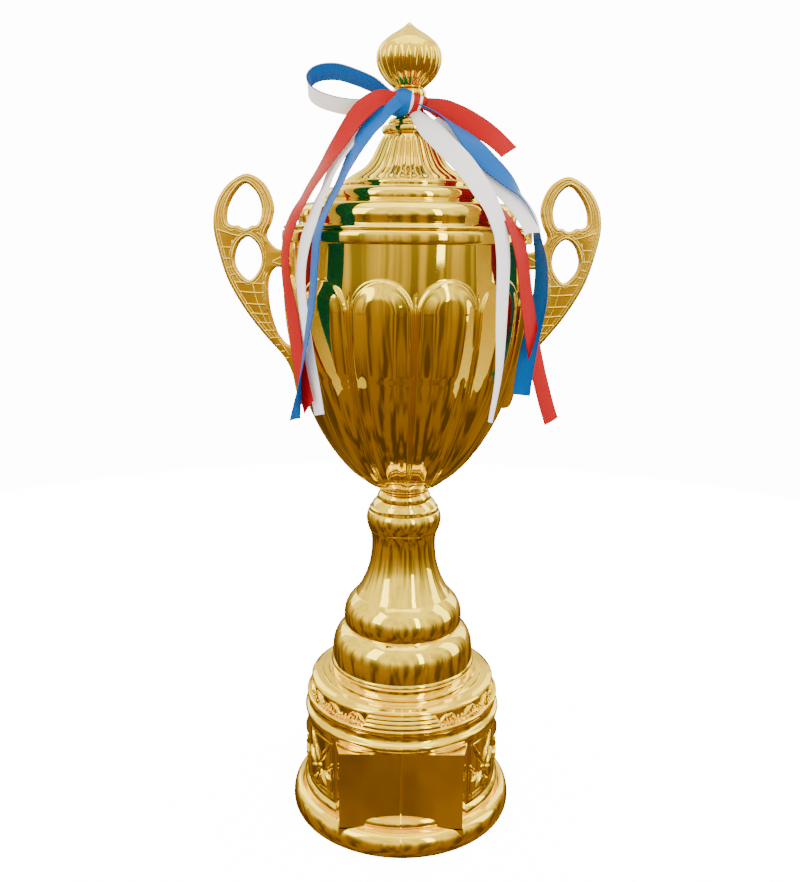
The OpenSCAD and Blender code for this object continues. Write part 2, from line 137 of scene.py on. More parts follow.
def turned(points: list[tuple[float, float]], per: int = 5) -> Array:
    """A lathe profile: smooth through its points, with a sharp corner wherever a point is given twice.

    Args:
        points: (radius, height) pairs.
        per: samples for each span.

    Returns:
        (m, 2) samples.
    """
    runs: list[list[tuple[float, float]]] = [[]]
    for a, b in zip(points, points[1:] + [None]):
        runs[-1].append(a)
        if a == b:
            runs.append([])
    parts = [spline(np.array(r), per) if len(r) > 2 else np.array(r, float) for r in runs if r]
    joined = np.vstack(parts)
    keep = np.r_[True, np.abs(np.diff(joined, axis=0)).sum(1) > 1e-6]
    return joined[keep]


def smoothstep(x: Array, low: float, high: float) -> Array:
    """0 below low, 1 above high, and 3t^2 - 2t^3 between."""
    t = np.clip((x - low) / (high - low), 0, 1)
    return t * t * (3 - 2 * t)


def unit(v: Array) -> Array:
    """Vectors of length one along the last axis."""
    return v / np.maximum(np.linalg.norm(v, axis=-1, keepdims=True), 1e-12)


def normals_2d(p: Array) -> Array:
    """Unit normals on the right-hand side of a polyline."""
    t = np.gradient(p, axis=0)
    return unit(np.stack([t[:, 1], -t[:, 0]], 1))


def angles(count: int) -> Array:
    """Evenly spaced angles round the axis."""
    return np.arange(count) * (2 * math.pi / count)


# ---------------------------------------------------------------- meshes


def grid_faces(rows: int, cols: int, wrap_rows: bool, wrap_cols: bool) -> Array:
    """Quads of a rows x cols grid of vertices, optionally joined end to end either way.

    Args:
        rows: vertices one way.
        cols: vertices the other way.
        wrap_rows: joins the last row to the first.
        wrap_cols: joins the last column to the first.

    Returns:
        (n, 4) vertex indices.
    """
    r = np.arange(rows if wrap_rows else rows - 1)
    c = np.arange(cols if wrap_cols else cols - 1)
    r, c = np.meshgrid(r, c, indexing="ij")
    r2, c2 = (r + 1) % rows, (c + 1) % cols
    quad = np.stack([r * cols + c, r * cols + c2, r2 * cols + c2, r2 * cols + c], -1)
    return quad.reshape(-1, 4)


def put(name: str, vertices: Array, faces: list, body: Body,
        sharp: float = 35.0) -> bpy.types.Object:
    """Makes an object from vertices in millimetres, smooth but for edges sharper than an angle.

    Args:
        name: the piece's name.
        vertices: (n, 3) places in millimetres.
        faces: vertex indices of each face, pointing outwards.
        body: the body it rides on.
        sharp: angle in degrees past which an edge stays crisp.

    Returns:
        The new object, at the origin.
    """
    mesh = bpy.data.meshes.new(name)
    mesh.from_pydata((np.asarray(vertices) * MM).tolist(), [], faces)
    mesh.validate()
    mesh.polygons.foreach_set("use_smooth", np.ones(len(mesh.polygons), bool))
    mesh.set_sharp_from_angle(angle=math.radians(sharp))
    mesh.update()
    obj = bpy.data.objects.new(name, mesh)
    bpy.context.scene.collection.objects.link(obj)
    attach(obj, body.value)
    log.info("%s: %d faces", name, len(mesh.polygons))
    return obj


def ring_surface(radius: Array, height: Array, theta: Array, loop: bool) -> tuple[Array, list]:
    """A surface round the axis: point = (r cos t, r sin t, z), with r and z given for each row and angle.

    Args:
        radius: (rows, cols) radii.
        height: (rows,) or (rows, cols) heights.
        theta: (cols,) angles.
        loop: True for a hollow ring whose last row meets the first; False closes both ends with poles.

    Returns:
        Vertices and faces.
    """
    rows, cols = radius.shape
    z = np.broadcast_to(height[:, None] if height.ndim == 1 else height, radius.shape)
    pts = np.stack([radius * np.cos(theta), radius * np.sin(theta), z], -1).reshape(-1, 3)
    faces = grid_faces(rows, cols, loop, True)
    if loop:
        return pts, faces.tolist()
    ends = np.array([[0, 0, z[0].mean()], [0, 0, z[-1].mean()]])
    c = np.arange(cols)
    c2 = (c + 1) % cols
    low = np.stack([np.full(cols, rows * cols), c2, c], 1)
    top = (rows - 1) * cols
    high = np.stack([np.full(cols, rows * cols + 1), top + c, top + c2], 1)
    return np.vstack([pts, ends]), faces.tolist() + low.tolist() + high.tolist()


# ---------------------------------------------------------------- shader groups and finishes

Sockets = dict[str, object]


def add(tree: bpy.types.NodeTree, kind: str, settings: Sockets | None = None,
        **inputs: object) -> bpy.types.Node:
    """Adds a node, sets its properties and joins or fills its inputs.

    Args:
        tree: the node tree.
        kind: the node's type name.
        settings: properties of the node itself.
        inputs: a socket or a plain value for each input, by name with underscores for spaces, or i0, i1 by place.

    Returns:
        The new node.
    """
    made = tree.nodes.new(kind)
    for key, value in (settings or {}).items():
        setattr(made, key, value)
    for key, value in inputs.items():
        by_place = key[0] == "i" and key[1:].isdigit()
        socket = made.inputs[int(key[1:]) if by_place else key.replace("_", " ")]
        if isinstance(value, bpy.types.NodeSocket):
            tree.links.new(value, socket)
        else:
            socket.default_value = value
    return made


def group(name: str, takes: list[tuple[str, str, float]], gives: list[tuple[str, str]]) -> bpy.types.NodeTree:
    """An empty shader group with named sockets.

    Args:
        name: the group's name.
        takes: (name, kind, default) of each input.
        gives: (name, kind) of each output.

    Returns:
        The group's node tree.
    """
    tree = bpy.data.node_groups.new(name, "ShaderNodeTree")
    for label, kind, default in takes:
        socket = tree.interface.new_socket(label, in_out="INPUT", socket_type=f"NodeSocket{kind}")
        if kind == "Float":
            socket.default_value = default
    for label, kind in gives:
        tree.interface.new_socket(label, in_out="OUTPUT", socket_type=f"NodeSocket{kind}")
    tree.nodes.new("NodeGroupInput")
    tree.nodes.new("NodeGroupOutput")
    return tree


def ends_of(tree: bpy.types.NodeTree) -> tuple[bpy.types.Node, bpy.types.Node]:
    """The group's input and output nodes."""
    kinds = {n.bl_idname: n for n in tree.nodes}
    return kinds["NodeGroupInput"], kinds["NodeGroupOutput"]


def polish_group() -> bpy.types.NodeTree:
    """Handling marks on polished metal: soft smears, hairline scratches and a slow waviness of the surface.

    Returns:
        The group's node tree.
    """
    tree = group("polish_marks", [("Place", "Vector", 0), ("Base", "Float", 0.08), ("Smear", "Float", 0.05),
                                  ("Wave", "Float", 1.0)],
                                 [("Roughness", "Float"), ("Height", "Float"), ("Tone", "Float")])
    source, result = ends_of(tree)
    place = source.outputs["Place"]
    smear = add(tree, "ShaderNodeTexNoise", Vector=place, Scale=42.0, Detail=5.0, Roughness=0.62)
    patch = add(tree, "ShaderNodeMapRange", Value=smear.outputs["Fac"], From_Min=0.45, From_Max=0.75)
    hair = add(tree, "ShaderNodeTexNoise", Vector=add(tree, "ShaderNodeMapping", Vector=place,
                                                      Scale=(60, 900, 90)).outputs[0],
               Scale=6.0, Detail=2.0)
    line = add(tree, "ShaderNodeMapRange", Value=hair.outputs["Fac"], From_Min=0.66, From_Max=0.76)
    amount = add(tree, "ShaderNodeMath", {"operation": "MULTIPLY_ADD"}, i0=line.outputs[0], i1=0.4,
                 i2=patch.outputs[0])
    rough = add(tree, "ShaderNodeMath", {"operation": "MULTIPLY_ADD"}, i0=amount.outputs[0],
                i1=source.outputs["Smear"],
                i2=source.outputs["Base"])
    slow = add(tree, "ShaderNodeTexNoise", Vector=place, Scale=26.0, Detail=1.0)
    wave = add(tree, "ShaderNodeMath", {"operation": "MULTIPLY"}, i0=slow.outputs["Fac"],
               i1=source.outputs["Wave"])
    tree.links.new(rough.outputs[0], result.inputs["Roughness"])
    tree.links.new(wave.outputs[0], result.inputs["Height"])
    tree.links.new(patch.outputs[0], result.inputs["Tone"])
    return tree


def satin_group() -> bpy.types.NodeTree:
    """Satin weave along a ribbon's own map: fine weft ribs, faint warp floats, and a firm selvedge at each edge.

    Returns:
        The group's node tree.
    """
    tree = group("satin_weave", [("Map", "Vector", 0), ("Ribs", "Float", 2200.0)],
                 [("Height", "Float"), ("Edge", "Float"), ("Fade", "Float")])
    source, result = ends_of(tree)
    axis = add(tree, "ShaderNodeSeparateXYZ", Vector=source.outputs["Map"])
    turn = add(tree, "ShaderNodeMath", {"operation": "MULTIPLY"}, i0=axis.outputs["Y"],
               i1=source.outputs["Ribs"])
    ribs = add(tree, "ShaderNodeMath", {"operation": "SINE"}, i0=turn.outputs[0])
    float_line = add(tree, "ShaderNodeTexNoise",
                     Vector=add(tree, "ShaderNodeMapping", Vector=source.outputs["Map"],
                                Scale=(2600, 120, 1)).outputs[0],
                     Scale=1.0, Detail=2.0)
    height = add(tree, "ShaderNodeMath", {"operation": "MULTIPLY_ADD"}, i0=ribs.outputs[0], i1=0.35,
                 i2=float_line.outputs["Fac"])
    side = add(tree, "ShaderNodeMath", {"operation": "ABSOLUTE"}, i0=axis.outputs["X"])
    edge = add(tree, "ShaderNodeMapRange", Value=side.outputs[0], From_Min=0.0056, From_Max=0.0061)
    drift = add(tree, "ShaderNodeTexNoise",
                Vector=add(tree, "ShaderNodeMapping", Vector=source.outputs["Map"],
                           Scale=(500, 25, 1)).outputs[0],
                Scale=1.0, Detail=3.0)
    tree.links.new(height.outputs[0], result.inputs["Height"])
    tree.links.new(edge.outputs[0], result.inputs["Edge"])
    tree.links.new(drift.outputs["Fac"], result.inputs["Fade"])
    return tree


def grain_group() -> bpy.types.NodeTree:
    """Even grain for cast, painted, board and felt surfaces: noise at one scale with a coarser drift over it.

    Returns:
        The group's node tree.
    """
    tree = group("surface_grain", [("Place", "Vector", 0), ("Fine", "Float", 900.0),
                                   ("Coarse", "Float", 60.0)],
                 [("Height", "Float"), ("Drift", "Float")])
    source, result = ends_of(tree)
    fine = add(tree, "ShaderNodeTexNoise", Vector=source.outputs["Place"], Scale=source.outputs["Fine"],
               Detail=4.0)
    coarse = add(tree, "ShaderNodeTexNoise", Vector=source.outputs["Place"], Scale=source.outputs["Coarse"],
                 Detail=3.0)
    tree.links.new(fine.outputs["Fac"], result.inputs["Height"])
    tree.links.new(coarse.outputs["Fac"], result.inputs["Drift"])
    return tree


class Paints:
    """Builds each shared group once and hands out finished materials."""

    def __init__(self) -> None:
        """Makes the shared groups."""
        self.polish = polish_group()
        self.satin = satin_group()
        self.grain = grain_group()

    def _blank(self, name: str) -> tuple[bpy.types.Material, bpy.types.NodeTree, bpy.types.Node,
                                         bpy.types.Node]:
        """A material with a Principled shader, and a coordinate node.

        Args:
            name: the material's name.

        Returns:
            The material, its tree, its shader and its coordinates.
        """
        made = bpy.data.materials.new(name)
        made.use_nodes = True
        tree = made.node_tree
        return made, tree, tree.nodes["Principled BSDF"], add(tree, "ShaderNodeTexCoord")

    def _placed(self, tree: bpy.types.NodeTree, which: bpy.types.NodeTree,
                **inputs: object) -> bpy.types.Node:
        """A group node with its inputs set."""
        return add(tree, "ShaderNodeGroup", {"node_tree": which}, **inputs)

    def _mix(self, tree: bpy.types.NodeTree, fac: bpy.types.NodeSocket, a: tuple,
             b: tuple) -> bpy.types.NodeSocket:
        """Colour a where fac is 0 and b where it is 1.

        Args:
            tree: the material's tree.
            fac: the mask.
            a: colour at 0.
            b: colour at 1.

        Returns:
            The mixed colour.
        """
        made = add(tree, "ShaderNodeMix", {"data_type": "RGBA"})
        made.inputs["Factor"].default_value = 0
        tree.links.new(fac, made.inputs["Factor"])
        made.inputs[6].default_value = (*a, 1)
        made.inputs[7].default_value = (*b, 1)
        return made.outputs[2]

    def _bump(self, tree: bpy.types.NodeTree, shader: bpy.types.Node, height: bpy.types.NodeSocket,
              depth: float) -> None:
        """Bump of a real depth in metres into the shader's normal."""
        bump = add(tree, "ShaderNodeBump", Height=height, Distance=depth, Strength=1.0)
        tree.links.new(bump.outputs[0], shader.inputs["Normal"])

    def gilt(self, look: "Gilt") -> bpy.types.Material:
        """A polished or satin gold surface.

        Args:
            look: the finish.

        Returns:
            The material.
        """
        made, tree, shader, place = self._blank(look.name)
        marks = self._placed(tree, self.polish, Place=place.outputs["Object"], Base=look.roughness,
                             Smear=look.smear,
                             Wave=look.wave)
        tree.links.new(self._mix(tree, marks.outputs["Tone"], look.color, look.tarnish),
                       shader.inputs["Base Color"])
        tree.links.new(marks.outputs["Roughness"], shader.inputs["Roughness"])
        shader.inputs["Metallic"].default_value = 1.0
        if look.grain_depth:
            grain = self._placed(tree, self.grain, Place=place.outputs["Object"], Fine=look.grain_scale,
                                 Coarse=80.0)
            self._bump(tree, shader, grain.outputs["Height"], look.grain_depth)
        else:
            self._bump(tree, shader, marks.outputs["Height"], look.wave_depth)
        return made

    def satin_ribbon(self, look: "Satin") -> bpy.types.Material:
        """A satin ribbon, woven along its own map.

        Args:
            look: the finish.

        Returns:
            The material.
        """
        made, tree, shader, place = self._blank(look.name)
        weave = self._placed(tree, self.satin, Map=place.outputs["UV"], Ribs=look.ribs)
        base = self._mix(tree, weave.outputs["Fade"], look.color, look.deep)
        edged = add(tree, "ShaderNodeMix", {"data_type": "RGBA"})
        tree.links.new(weave.outputs["Edge"], edged.inputs["Factor"])
        tree.links.new(base, edged.inputs[6])
        edged.inputs[7].default_value = (*look.edge, 1)
        tree.links.new(edged.outputs[2], shader.inputs["Base Color"])
        self._bump(tree, shader, weave.outputs["Height"], 0.00004)
        shader.inputs["Roughness"].default_value = look.roughness
        shader.inputs["Specular IOR Level"].default_value = 0.15
        return made

    def plain(self, look: "Plain") -> bpy.types.Material:
        """A grained surface: steel, iron, board or felt.

        Args:
            look: the finish.

        Returns:
            The material.
        """
        made, tree, shader, place = self._blank(look.name)
        grain = self._placed(tree, self.grain, Place=place.outputs["Object"], Fine=look.fine,
                             Coarse=look.coarse)
        tree.links.new(self._mix(tree, grain.outputs["Drift"], look.color, look.dark),
                       shader.inputs["Base Color"])
        rough = add(tree, "ShaderNodeMapRange", Value=grain.outputs["Drift"], To_Min=look.roughness - 0.06,
                    To_Max=look.roughness + 0.1)
        tree.links.new(rough.outputs[0], shader.inputs["Roughness"])
        shader.inputs["Metallic"].default_value = look.metallic
        self._bump(tree, shader, grain.outputs["Height"], look.depth)
        return made


@dataclass(frozen=True)
class Gilt:
    """A gold finish: colour, a duller tone where it has been handled, and how rough and wavy it is."""

    name: str
    color: tuple[float, float, float]
    tarnish: tuple[float, float, float]
    roughness: float
    smear: float
    wave: float = 1.0
    wave_depth: float = 0.0006
    grain_scale: float = 0.0
    grain_depth: float = 0.0


@dataclass(frozen=True)
class Satin:
    """A ribbon colour with its shaded and selvedge tones."""

    name: str
    color: tuple[float, float, float]
    deep: tuple[float, float, float]
    edge: tuple[float, float, float]
    roughness: float = 0.42
    ribs: float = 9000.0


@dataclass(frozen=True)
class Plain:
    """A grained finish for the parts that are seldom seen."""

    name: str
    color: tuple[float, float, float]
    dark: tuple[float, float, float]
    roughness: float
    metallic: float
    fine: float
    coarse: float
    depth: float


SHEET_GOLD = Gilt("spun_gold", (1.0, 0.78, 0.07), (0.97, 0.72, 0.06), 0.04, 0.05)
MOULDED_GOLD = Gilt("moulded_gold", (1.0, 0.75, 0.04), (0.97, 0.68, 0.03), 0.05, 0.06)
CAST_GOLD = Gilt("cast_gold", (0.90, 0.57, 0.02), (0.84, 0.51, 0.015), 0.24, 0.08, grain_scale=900.0,
                 grain_depth=0.00002)
# Paler gold for the raised lines on the handles: a painted highlight that stands in for the light those lines catch.
CREST_PAINTED_HIGHLIGHT_GOLD = Gilt("cast_crest_painted_highlight", (1.0, 0.80, 0.15), (0.97, 0.75, 0.12), 0.2, 0.06, grain_scale=900.0,
                  grain_depth=0.00001)
TURNED_BRASS = Gilt("turned_brass", (0.62, 0.46, 0.20), (0.5, 0.36, 0.15), 0.3, 0.1)
RED_SATIN = Satin("red_satin", (0.44, 0.0, 0.001), (0.36, 0.0, 0.001), (0.26, 0.0, 0.001))
WHITE_SATIN = Satin("white_satin", (1.0, 0.95, 0.92), (0.96, 0.90, 0.87), (0.88, 0.82, 0.79))
BLUE_SATIN = Satin("blue_satin", (0.0, 0.11, 0.40), (0.0, 0.085, 0.33), (0.0, 0.055, 0.24))
ZINC = Plain("zinc_plate", (0.6, 0.61, 0.63), (0.45, 0.46, 0.48), 0.34, 1.0, 1500.0, 120.0, 0.00002)
PAINTED_IRON = Plain("painted_iron", (0.03, 0.03, 0.034), (0.015, 0.015, 0.017), 0.55, 0.0, 700.0, 60.0,
                     0.0002)
BOARD = Plain("pressed_board", (0.30, 0.17, 0.08), (0.20, 0.11, 0.05), 0.7, 0.0, 500.0, 40.0, 0.0002)
FELT = Plain("felt_pad", (0.02, 0.07, 0.045), (0.01, 0.04, 0.025), 0.95, 0.0, 2600.0, 90.0, 0.0004)


def dress(obj: bpy.types.Object, material: bpy.types.Material) -> None:
    """Gives an object one material in every slot.

    Args:
        obj: the piece.
        material: its finish.
    """
    if not obj.data.materials:
        obj.data.materials.append(material)
    for i in range(len(obj.data.materials)):
        obj.data.materials[i] = material


# ---------------------------------------------------------------- plinth


@dataclass
class Plinth:
    """The round moulded plinth with two flat blocks, a leaf frieze, ridge panels and leafy side panels."""

    face_y: float = 62.5
    half_w: float = 39.0
    splay: float = 3.0
    splay_depth: float = 14.0
    block_low: float = 8.0
    block_high: float = 66.5
    bead_top: float = 21.7
    columns: int = 560
    drum: float = 64.4
    frieze: tuple[float, float] = (82.9, 90.6)
    ridge_span: float = 20.0
    panel: tuple[float, float] = (25.0, 65.0)
    panel_edge: float = 43.0
    panel_sink: float = 0.8
    spray_rise: float = 1.9
    band_radius: float = 60.4
    band_columns: int = 1500
    ridge_pitch: float = 2.55
    leaf_pitch: float = 17.57
    leaf_first: float = 28.5
    motifs: int = 8
    spray_at: tuple[float, ...] = (56.0, 90.0, 124.0)
    spray_z: float = 44.0
    spray: list[tuple[float, float, float, float, float]] = field(default_factory=lambda: [
        # x, z, lean in degrees from upright, length, width
        (-6.6, 10.4, -30, 21, 3.0), (6.6, 10.4, 30, 21, 3.0), (-2.4, 5.0, -26, 12, 2.2),
        (2.4, 5.0, 26, 12, 2.2),
        (-10.6, 0.6, -40, 13, 2.8), (10.6, 0.6, 40, 13, 2.8), (-4.6, -9.4, -148, 13, 2.8),
        (4.6, -9.4, 148, 13, 2.8),
        (-8.6, -5.6, -112, 9, 2.4), (8.6, -5.6, 112, 9, 2.4), (0, -12.6, 0, 9, 2.2), (0, -2.2, 0, 4.6, 4.2)])
    tuft: list[tuple[float, float, float, float, float]] = field(default_factory=lambda: [
        (0, 4.4, 0, 6.6, 1.7), (-2.0, 4.2, -20, 7.2, 1.6), (2.0, 4.2, 20, 7.2, 1.6),
        (-4.2, 3.7, -42, 7.4, 1.6), (4.2, 3.7, 42, 7.4, 1.6), (-7.8, 5.6, -8, 3.2, 1.4),
        (7.8, 5.6, 8, 3.2, 1.4)])

    def profile(self) -> Array:
        """The outline up the outside, sampled finely enough for the reliefs.

        Returns:
            (m, 2) radii and heights.
        """
        f = self.frieze
        line = turned([(69.8, 0), (71.4, 0), (71.4, 0), (73.0, 0.8), (73.9, 3), (74, 6), (73.4, 9.6),
                       (72.2, 12.2),
                       (70.4, 13.9), (68, 14.7), (68, 14.7), (65.8, 13.8), (64.6, 14.3), (64.6, 14.3),
                       (65.6, 15.4),
                       (66.4, 17), (66.6, 18.6), (66.2, 20.2), (65.2, 21.6), (64.4, 22.4), (64.4, 22.4),
                       (64.4, 24.0),
                       (64.4, 24.0), (64.4, 65.6), (64.4, 65.6), (64.4, 66.4), (64.4, 66.4), (64.4, 68.4),
                       (64.4, 68.4),
                       (65.0, 69.2), (65.5, 70.6), (65.2, 72.0), (64.2, 73), (64.2, 73), (62.8, 74.2),
                       (62.3, 76.4),
                       (62.6, 78.6), (63.4, 79.8), (63.4, 79.8), (64.1, 80.5), (64.1, 81.6), (63.4, 82.4),
                       (63.4, 82.4),
                       (60.2, f[0]), (60.2, f[0]), (60.2, f[1]), (60.2, f[1]), (60.9, 91.2), (61, 92),
                       (60.2, 93.1),
                       (60.2, 93.1), (57.4, 94.7), (57.4, 94.7), (54, 95.2), (53.4, 95.4), (53.4, 95.4),
                       (52.9, 96.3),
                       (52.9, 96.3), (49.6, 96.7), (49.6, 96.7), (49.0, 97.5), (49.0, 97.5), (44.0, 97.5)], 5)
        fine = [line[0]]
        for a, b in zip(line, line[1:]):
            steps = max(1, int(np.ceil(np.abs(b - a).max() / 0.85)))
            fine += [a + (b - a) * k / steps for k in range(1, steps + 1)]
        return np.array(fine)

    def block_radius(self, turn: Array) -> Array:
        """Polar radius of the flat block: face_y / cos(t) across the face, then the straight splayed side wall.

        Args:
            turn: angles from the middle of the face.

        Returns:
            Radii, 0 beyond the block.
        """
        t = np.abs(turn)
        face = self.face_y / np.maximum(np.cos(t), 0.05)
        a, b = self.splay_depth, self.splay
        side = (a * self.half_w + b * self.face_y) / np.maximum(a * np.sin(t) + b * np.cos(t), 0.05)
        corner = math.atan2(self.half_w, self.face_y)
        back = math.atan2(self.half_w + b, self.face_y - a)
        return np.where(t <= corner, face, np.where(t <= back, side, 0.0))

    @staticmethod
    def blades(x: Array, z: Array, marks: list[tuple[float, float, float, float, float]]) -> Array:
        """Height of raised leaf blades: for each, 1 - (along/half length)^2 - (across/half width)^2, with a mid-rib.

        Args:
            x: sideways places on the panel.
            z: heights above the motif's middle.
            marks: (x, z, lean, length, width) of each blade.

        Returns:
            Heights from 0 to about 1.
        """
        out = np.zeros(np.broadcast(x, z).shape)
        for cx, cz, lean, length, width in marks:
            a = math.radians(lean)
            dx, dz = x - cx, z - cz
            along = dx * math.sin(a) + dz * math.cos(a)
            across = dx * math.cos(a) - dz * math.sin(a)
            taper = np.clip(1 - (along / (length / 2)) ** 2, 0, 1)
            body = np.clip(taper - (across / (width / 2)) ** 2, 0, 1) ** 0.5
            out = np.maximum(out, body * (0.72 + 0.28 * np.exp(-((across / 0.35) ** 2))))
        return out

    def build(self, paints: Paints) -> None:
        """Makes the plinth shell with its frieze band and side panels, and hides the CAD shell.

        Args:
            paints: the shared materials.
        """
        corner = math.atan2(self.half_w, self.face_y)
        back = math.atan2(self.half_w + self.splay, self.face_y - self.splay_depth)
        extra = [s * a + m + e for s in (-1, 1) for a in (corner, back) for m in (-math.pi / 2, math.pi / 2)
                 for e in (-0.004, 0.0, 0.004)]
        extra += [m + e for m in (-math.pi / 2, math.pi / 2) for e in (-0.009, -0.0045, 0.0, 0.0045, 0.009)]
        theta = np.unique(np.r_[angles(self.columns) - math.pi, extra])
        theta = theta[np.r_[True, np.diff(theta) > 1e-5]]
        line = self.profile()
        r0, z = line[:, 0][:, None], line[:, 1][:, None]
        front = (theta + math.pi) % (2 * math.pi) - math.pi / 2
        front = (front + math.pi / 2) % math.pi - math.pi / 2
        side = np.degrees(np.abs(front))[None, :]
        low, high = self.panel
        in_panel = smoothstep(z, low - 0.5, low + 0.7) * (1 - smoothstep(z, high - 0.9, high + 0.3))
        open_side = smoothstep(side, self.panel_edge - 0.8, self.panel_edge + 0.8)
        radius = np.broadcast_to(r0, (len(z), len(theta))) - self.panel_sink * in_panel * open_side
        block = self.block_radius(front)[None, :]
        upto = (z >= self.block_low) & (z <= self.block_high - 0.05) & (block > 0)
        radius = np.where(upto, np.maximum(radius, block), radius)
        flush = upto & (z > self.bead_top) & (np.abs(front)[None, :] <= corner + 1e-6)
        radius = np.where(flush, block, radius)
        seam = 0.3 * np.exp(-((np.degrees(front) / 0.26) ** 2))[None, :] * ((z > 3) & (z < 95))
        radius = radius + seam
        inner = np.array([[44, 94.2], [56, 92], [57.5, 82], [61.4, 77], [61.4, 23], [66, 13], [67.4, 4.5],
                          [69.8, 4.5]])
        ring = np.repeat(inner[:, :1], len(theta), 1)
        pts, faces = ring_surface(np.vstack([radius, ring]), np.r_[line[:, 1], inner[:, 1]], theta, True)
        shell = put("plinth_shell", pts, faces, Body.CUP, 40)
        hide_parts("base_shell")
        gold = paints.gilt(MOULDED_GOLD)
        dress(shell, gold)
        self.frieze_band(gold)
        for start in (-90.0, 90.0):
            self.leaf_panel("right" if start < 0 else "left", start, gold)

    def frieze_band(self, gold: bpy.types.Material) -> None:
        """The band of leaf tufts with a ridged tablet front and back, set in the groove under the top plate.

        Args:
            gold: the finish.
        """
        low, high = self.frieze
        theta = angles(self.band_columns)
        z = np.linspace(low - 0.1, high + 0.1, 27)[:, None]
        front = (theta + math.pi) % math.pi - math.pi / 2
        side = np.degrees(np.abs(front))[None, :]
        turn = (np.degrees(theta)[None, :] + 90.0) % 180.0
        tuft = np.zeros((len(z), len(theta)))
        for k in range(self.motifs):
            gap = np.radians(turn - (self.leaf_first + k * self.leaf_pitch)) * self.band_radius
            tuft = np.maximum(tuft, self.blades(gap, high - z, self.tuft))
        slant = self.ridge_span + 3.0 * (high - z) / (high - low)
        tablet = 1 - smoothstep(side, slant - 0.5, slant + 0.4)
        wave = np.abs(np.sin((z - low) / self.ridge_pitch * math.pi)) ** 0.7
        ridge = 0.4 + 2.4 * (high - z) / (high - low) + 0.75 * wave
        radius = self.band_radius + tablet * ridge + (1 - tablet) * 1.7 * tuft
        inner = np.full((1, len(theta)), self.band_radius - 1.2)
        pts, faces = ring_surface(np.vstack([radius, inner, inner]), np.r_[z[:, 0], z[-1], z[0]], theta, True)
        band = put("plinth_frieze", pts, faces, Body.CUP, 50)
        dress(band, gold)

    def leaf_panel(self, word: str, start: float, gold: bpy.types.Material) -> None:
        """One side panel with crossing laurel sprays inside a raised line.

        Args:
            word: which side, for the name.
            start: angle in degrees where the half turn that holds the panel begins.
            gold: the finish.
        """
        low, high = self.panel
        edge = self.panel_edge
        turn = np.linspace(edge + 0.4, 180 - edge - 0.4, 300)
        z = np.linspace(low + 0.2, high - 0.2, 116)[:, None]
        leaf = np.zeros((len(z), len(turn)))
        for at in self.spray_at:
            gap = np.radians(turn[None, :] - at) * self.drum
            leaf = np.maximum(leaf, self.blades(gap, z - self.spray_z, self.spray))
        side = np.minimum(turn, 180 - turn)[None, :]
        upright = np.exp(-(((side - edge - 2.4) / 0.5) ** 2))
        level = np.exp(-(((z - low - 2.2) / 0.55) ** 2)) + np.exp(-(((z - high + 2.2) / 0.55) ** 2))
        leaf = np.maximum(leaf, 0.22 * np.clip(upright + level, 0, 1))
        ends = smoothstep(side, edge + 0.4, edge + 1.2)
        radius = self.drum - self.panel_sink + 0.05 + self.spray_rise * leaf * ends
        theta = np.radians(start + turn)
        outer = np.stack([radius * np.cos(theta), radius * np.sin(theta), z + 0 * radius], -1)
        flat = self.drum - self.panel_sink - 0.6
        inner = np.stack([flat * np.cos(theta) + 0 * radius, flat * np.sin(theta) + 0 * radius,
                          z + 0 * radius], -1)
        loop = np.concatenate([outer, inner[:, ::-1]], 1)
        rows, cols = loop.shape[:2]
        half = cols // 2
        k = np.arange(half - 1)
        foot = np.stack([k, cols - 1 - k, cols - 2 - k, k + 1], 1)
        base = (rows - 1) * cols
        head = np.stack([base + k, base + k + 1, base + cols - 2 - k, base + cols - 1 - k], 1)
        faces = np.vstack([grid_faces(rows, cols, False, True), foot, head])
        panel = put(f"plinth_panel_{word}", loop.reshape(-1, 3), faces.tolist(), Body.CUP, 50)
        dress(panel, gold)


# ---------------------------------------------------------------- spun stem, rings and collars


@dataclass
class Turning:
    """A spun or turned ring: its profile in millimetres, and the lobes of any fluting."""

    name: str
    node: str
    body: Body
    slot: Slot
    points: list[tuple[float, float]]
    thick: float = 1.0
    solid: bool = False
    columns: int = 192
    per: int = 5
    flutes: int = 0
    flute_depth: float = 0.0
    flute_zone: tuple[float, float, float, float] = (0, 0, 0, 0)
    sharp: float = 35.0

    def build(self, material: bpy.types.Material) -> bpy.types.Object:
        """Spins the profile; a flute narrows it by depth (1 - |cos(n t / 2)|^0.8), faded in and out by height.

        Args:
            material: the finish.

        Returns:
            The new piece, which replaces its CAD node.
        """
        line = turned(self.points, self.per)
        theta = angles(self.columns)
        z = line[:, 1][:, None]
        if self.flutes:
            a, b, c, d = self.flute_zone
            amount = smoothstep(z, a, b) * (1 - smoothstep(z, c, d))
            lobe = 1 - np.abs(np.cos(self.flutes * theta / 2))[None, :] ** 0.8
        else:
            amount, lobe = np.zeros((len(z), 1)), np.zeros((1, len(theta)))
        outer = line[:, 0][:, None] * (1 - self.flute_depth * amount * lobe)
        if self.solid:
            pts, faces = ring_surface(outer, line[:, 1], theta, False)
        else:
            inside = line - self.thick * normals_2d(line)
            back = np.maximum(inside[:, 0][:, None] + (outer - line[:, 0][:, None]), 2.9)[::-1]
            pts, faces = ring_surface(np.vstack([outer, back]), np.r_[line[:, 1], inside[::-1, 1]], theta,
                                      True)
        made = put(self.name, pts, faces, self.body, self.sharp)
        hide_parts(self.node)
        dress(made, material)
        return made


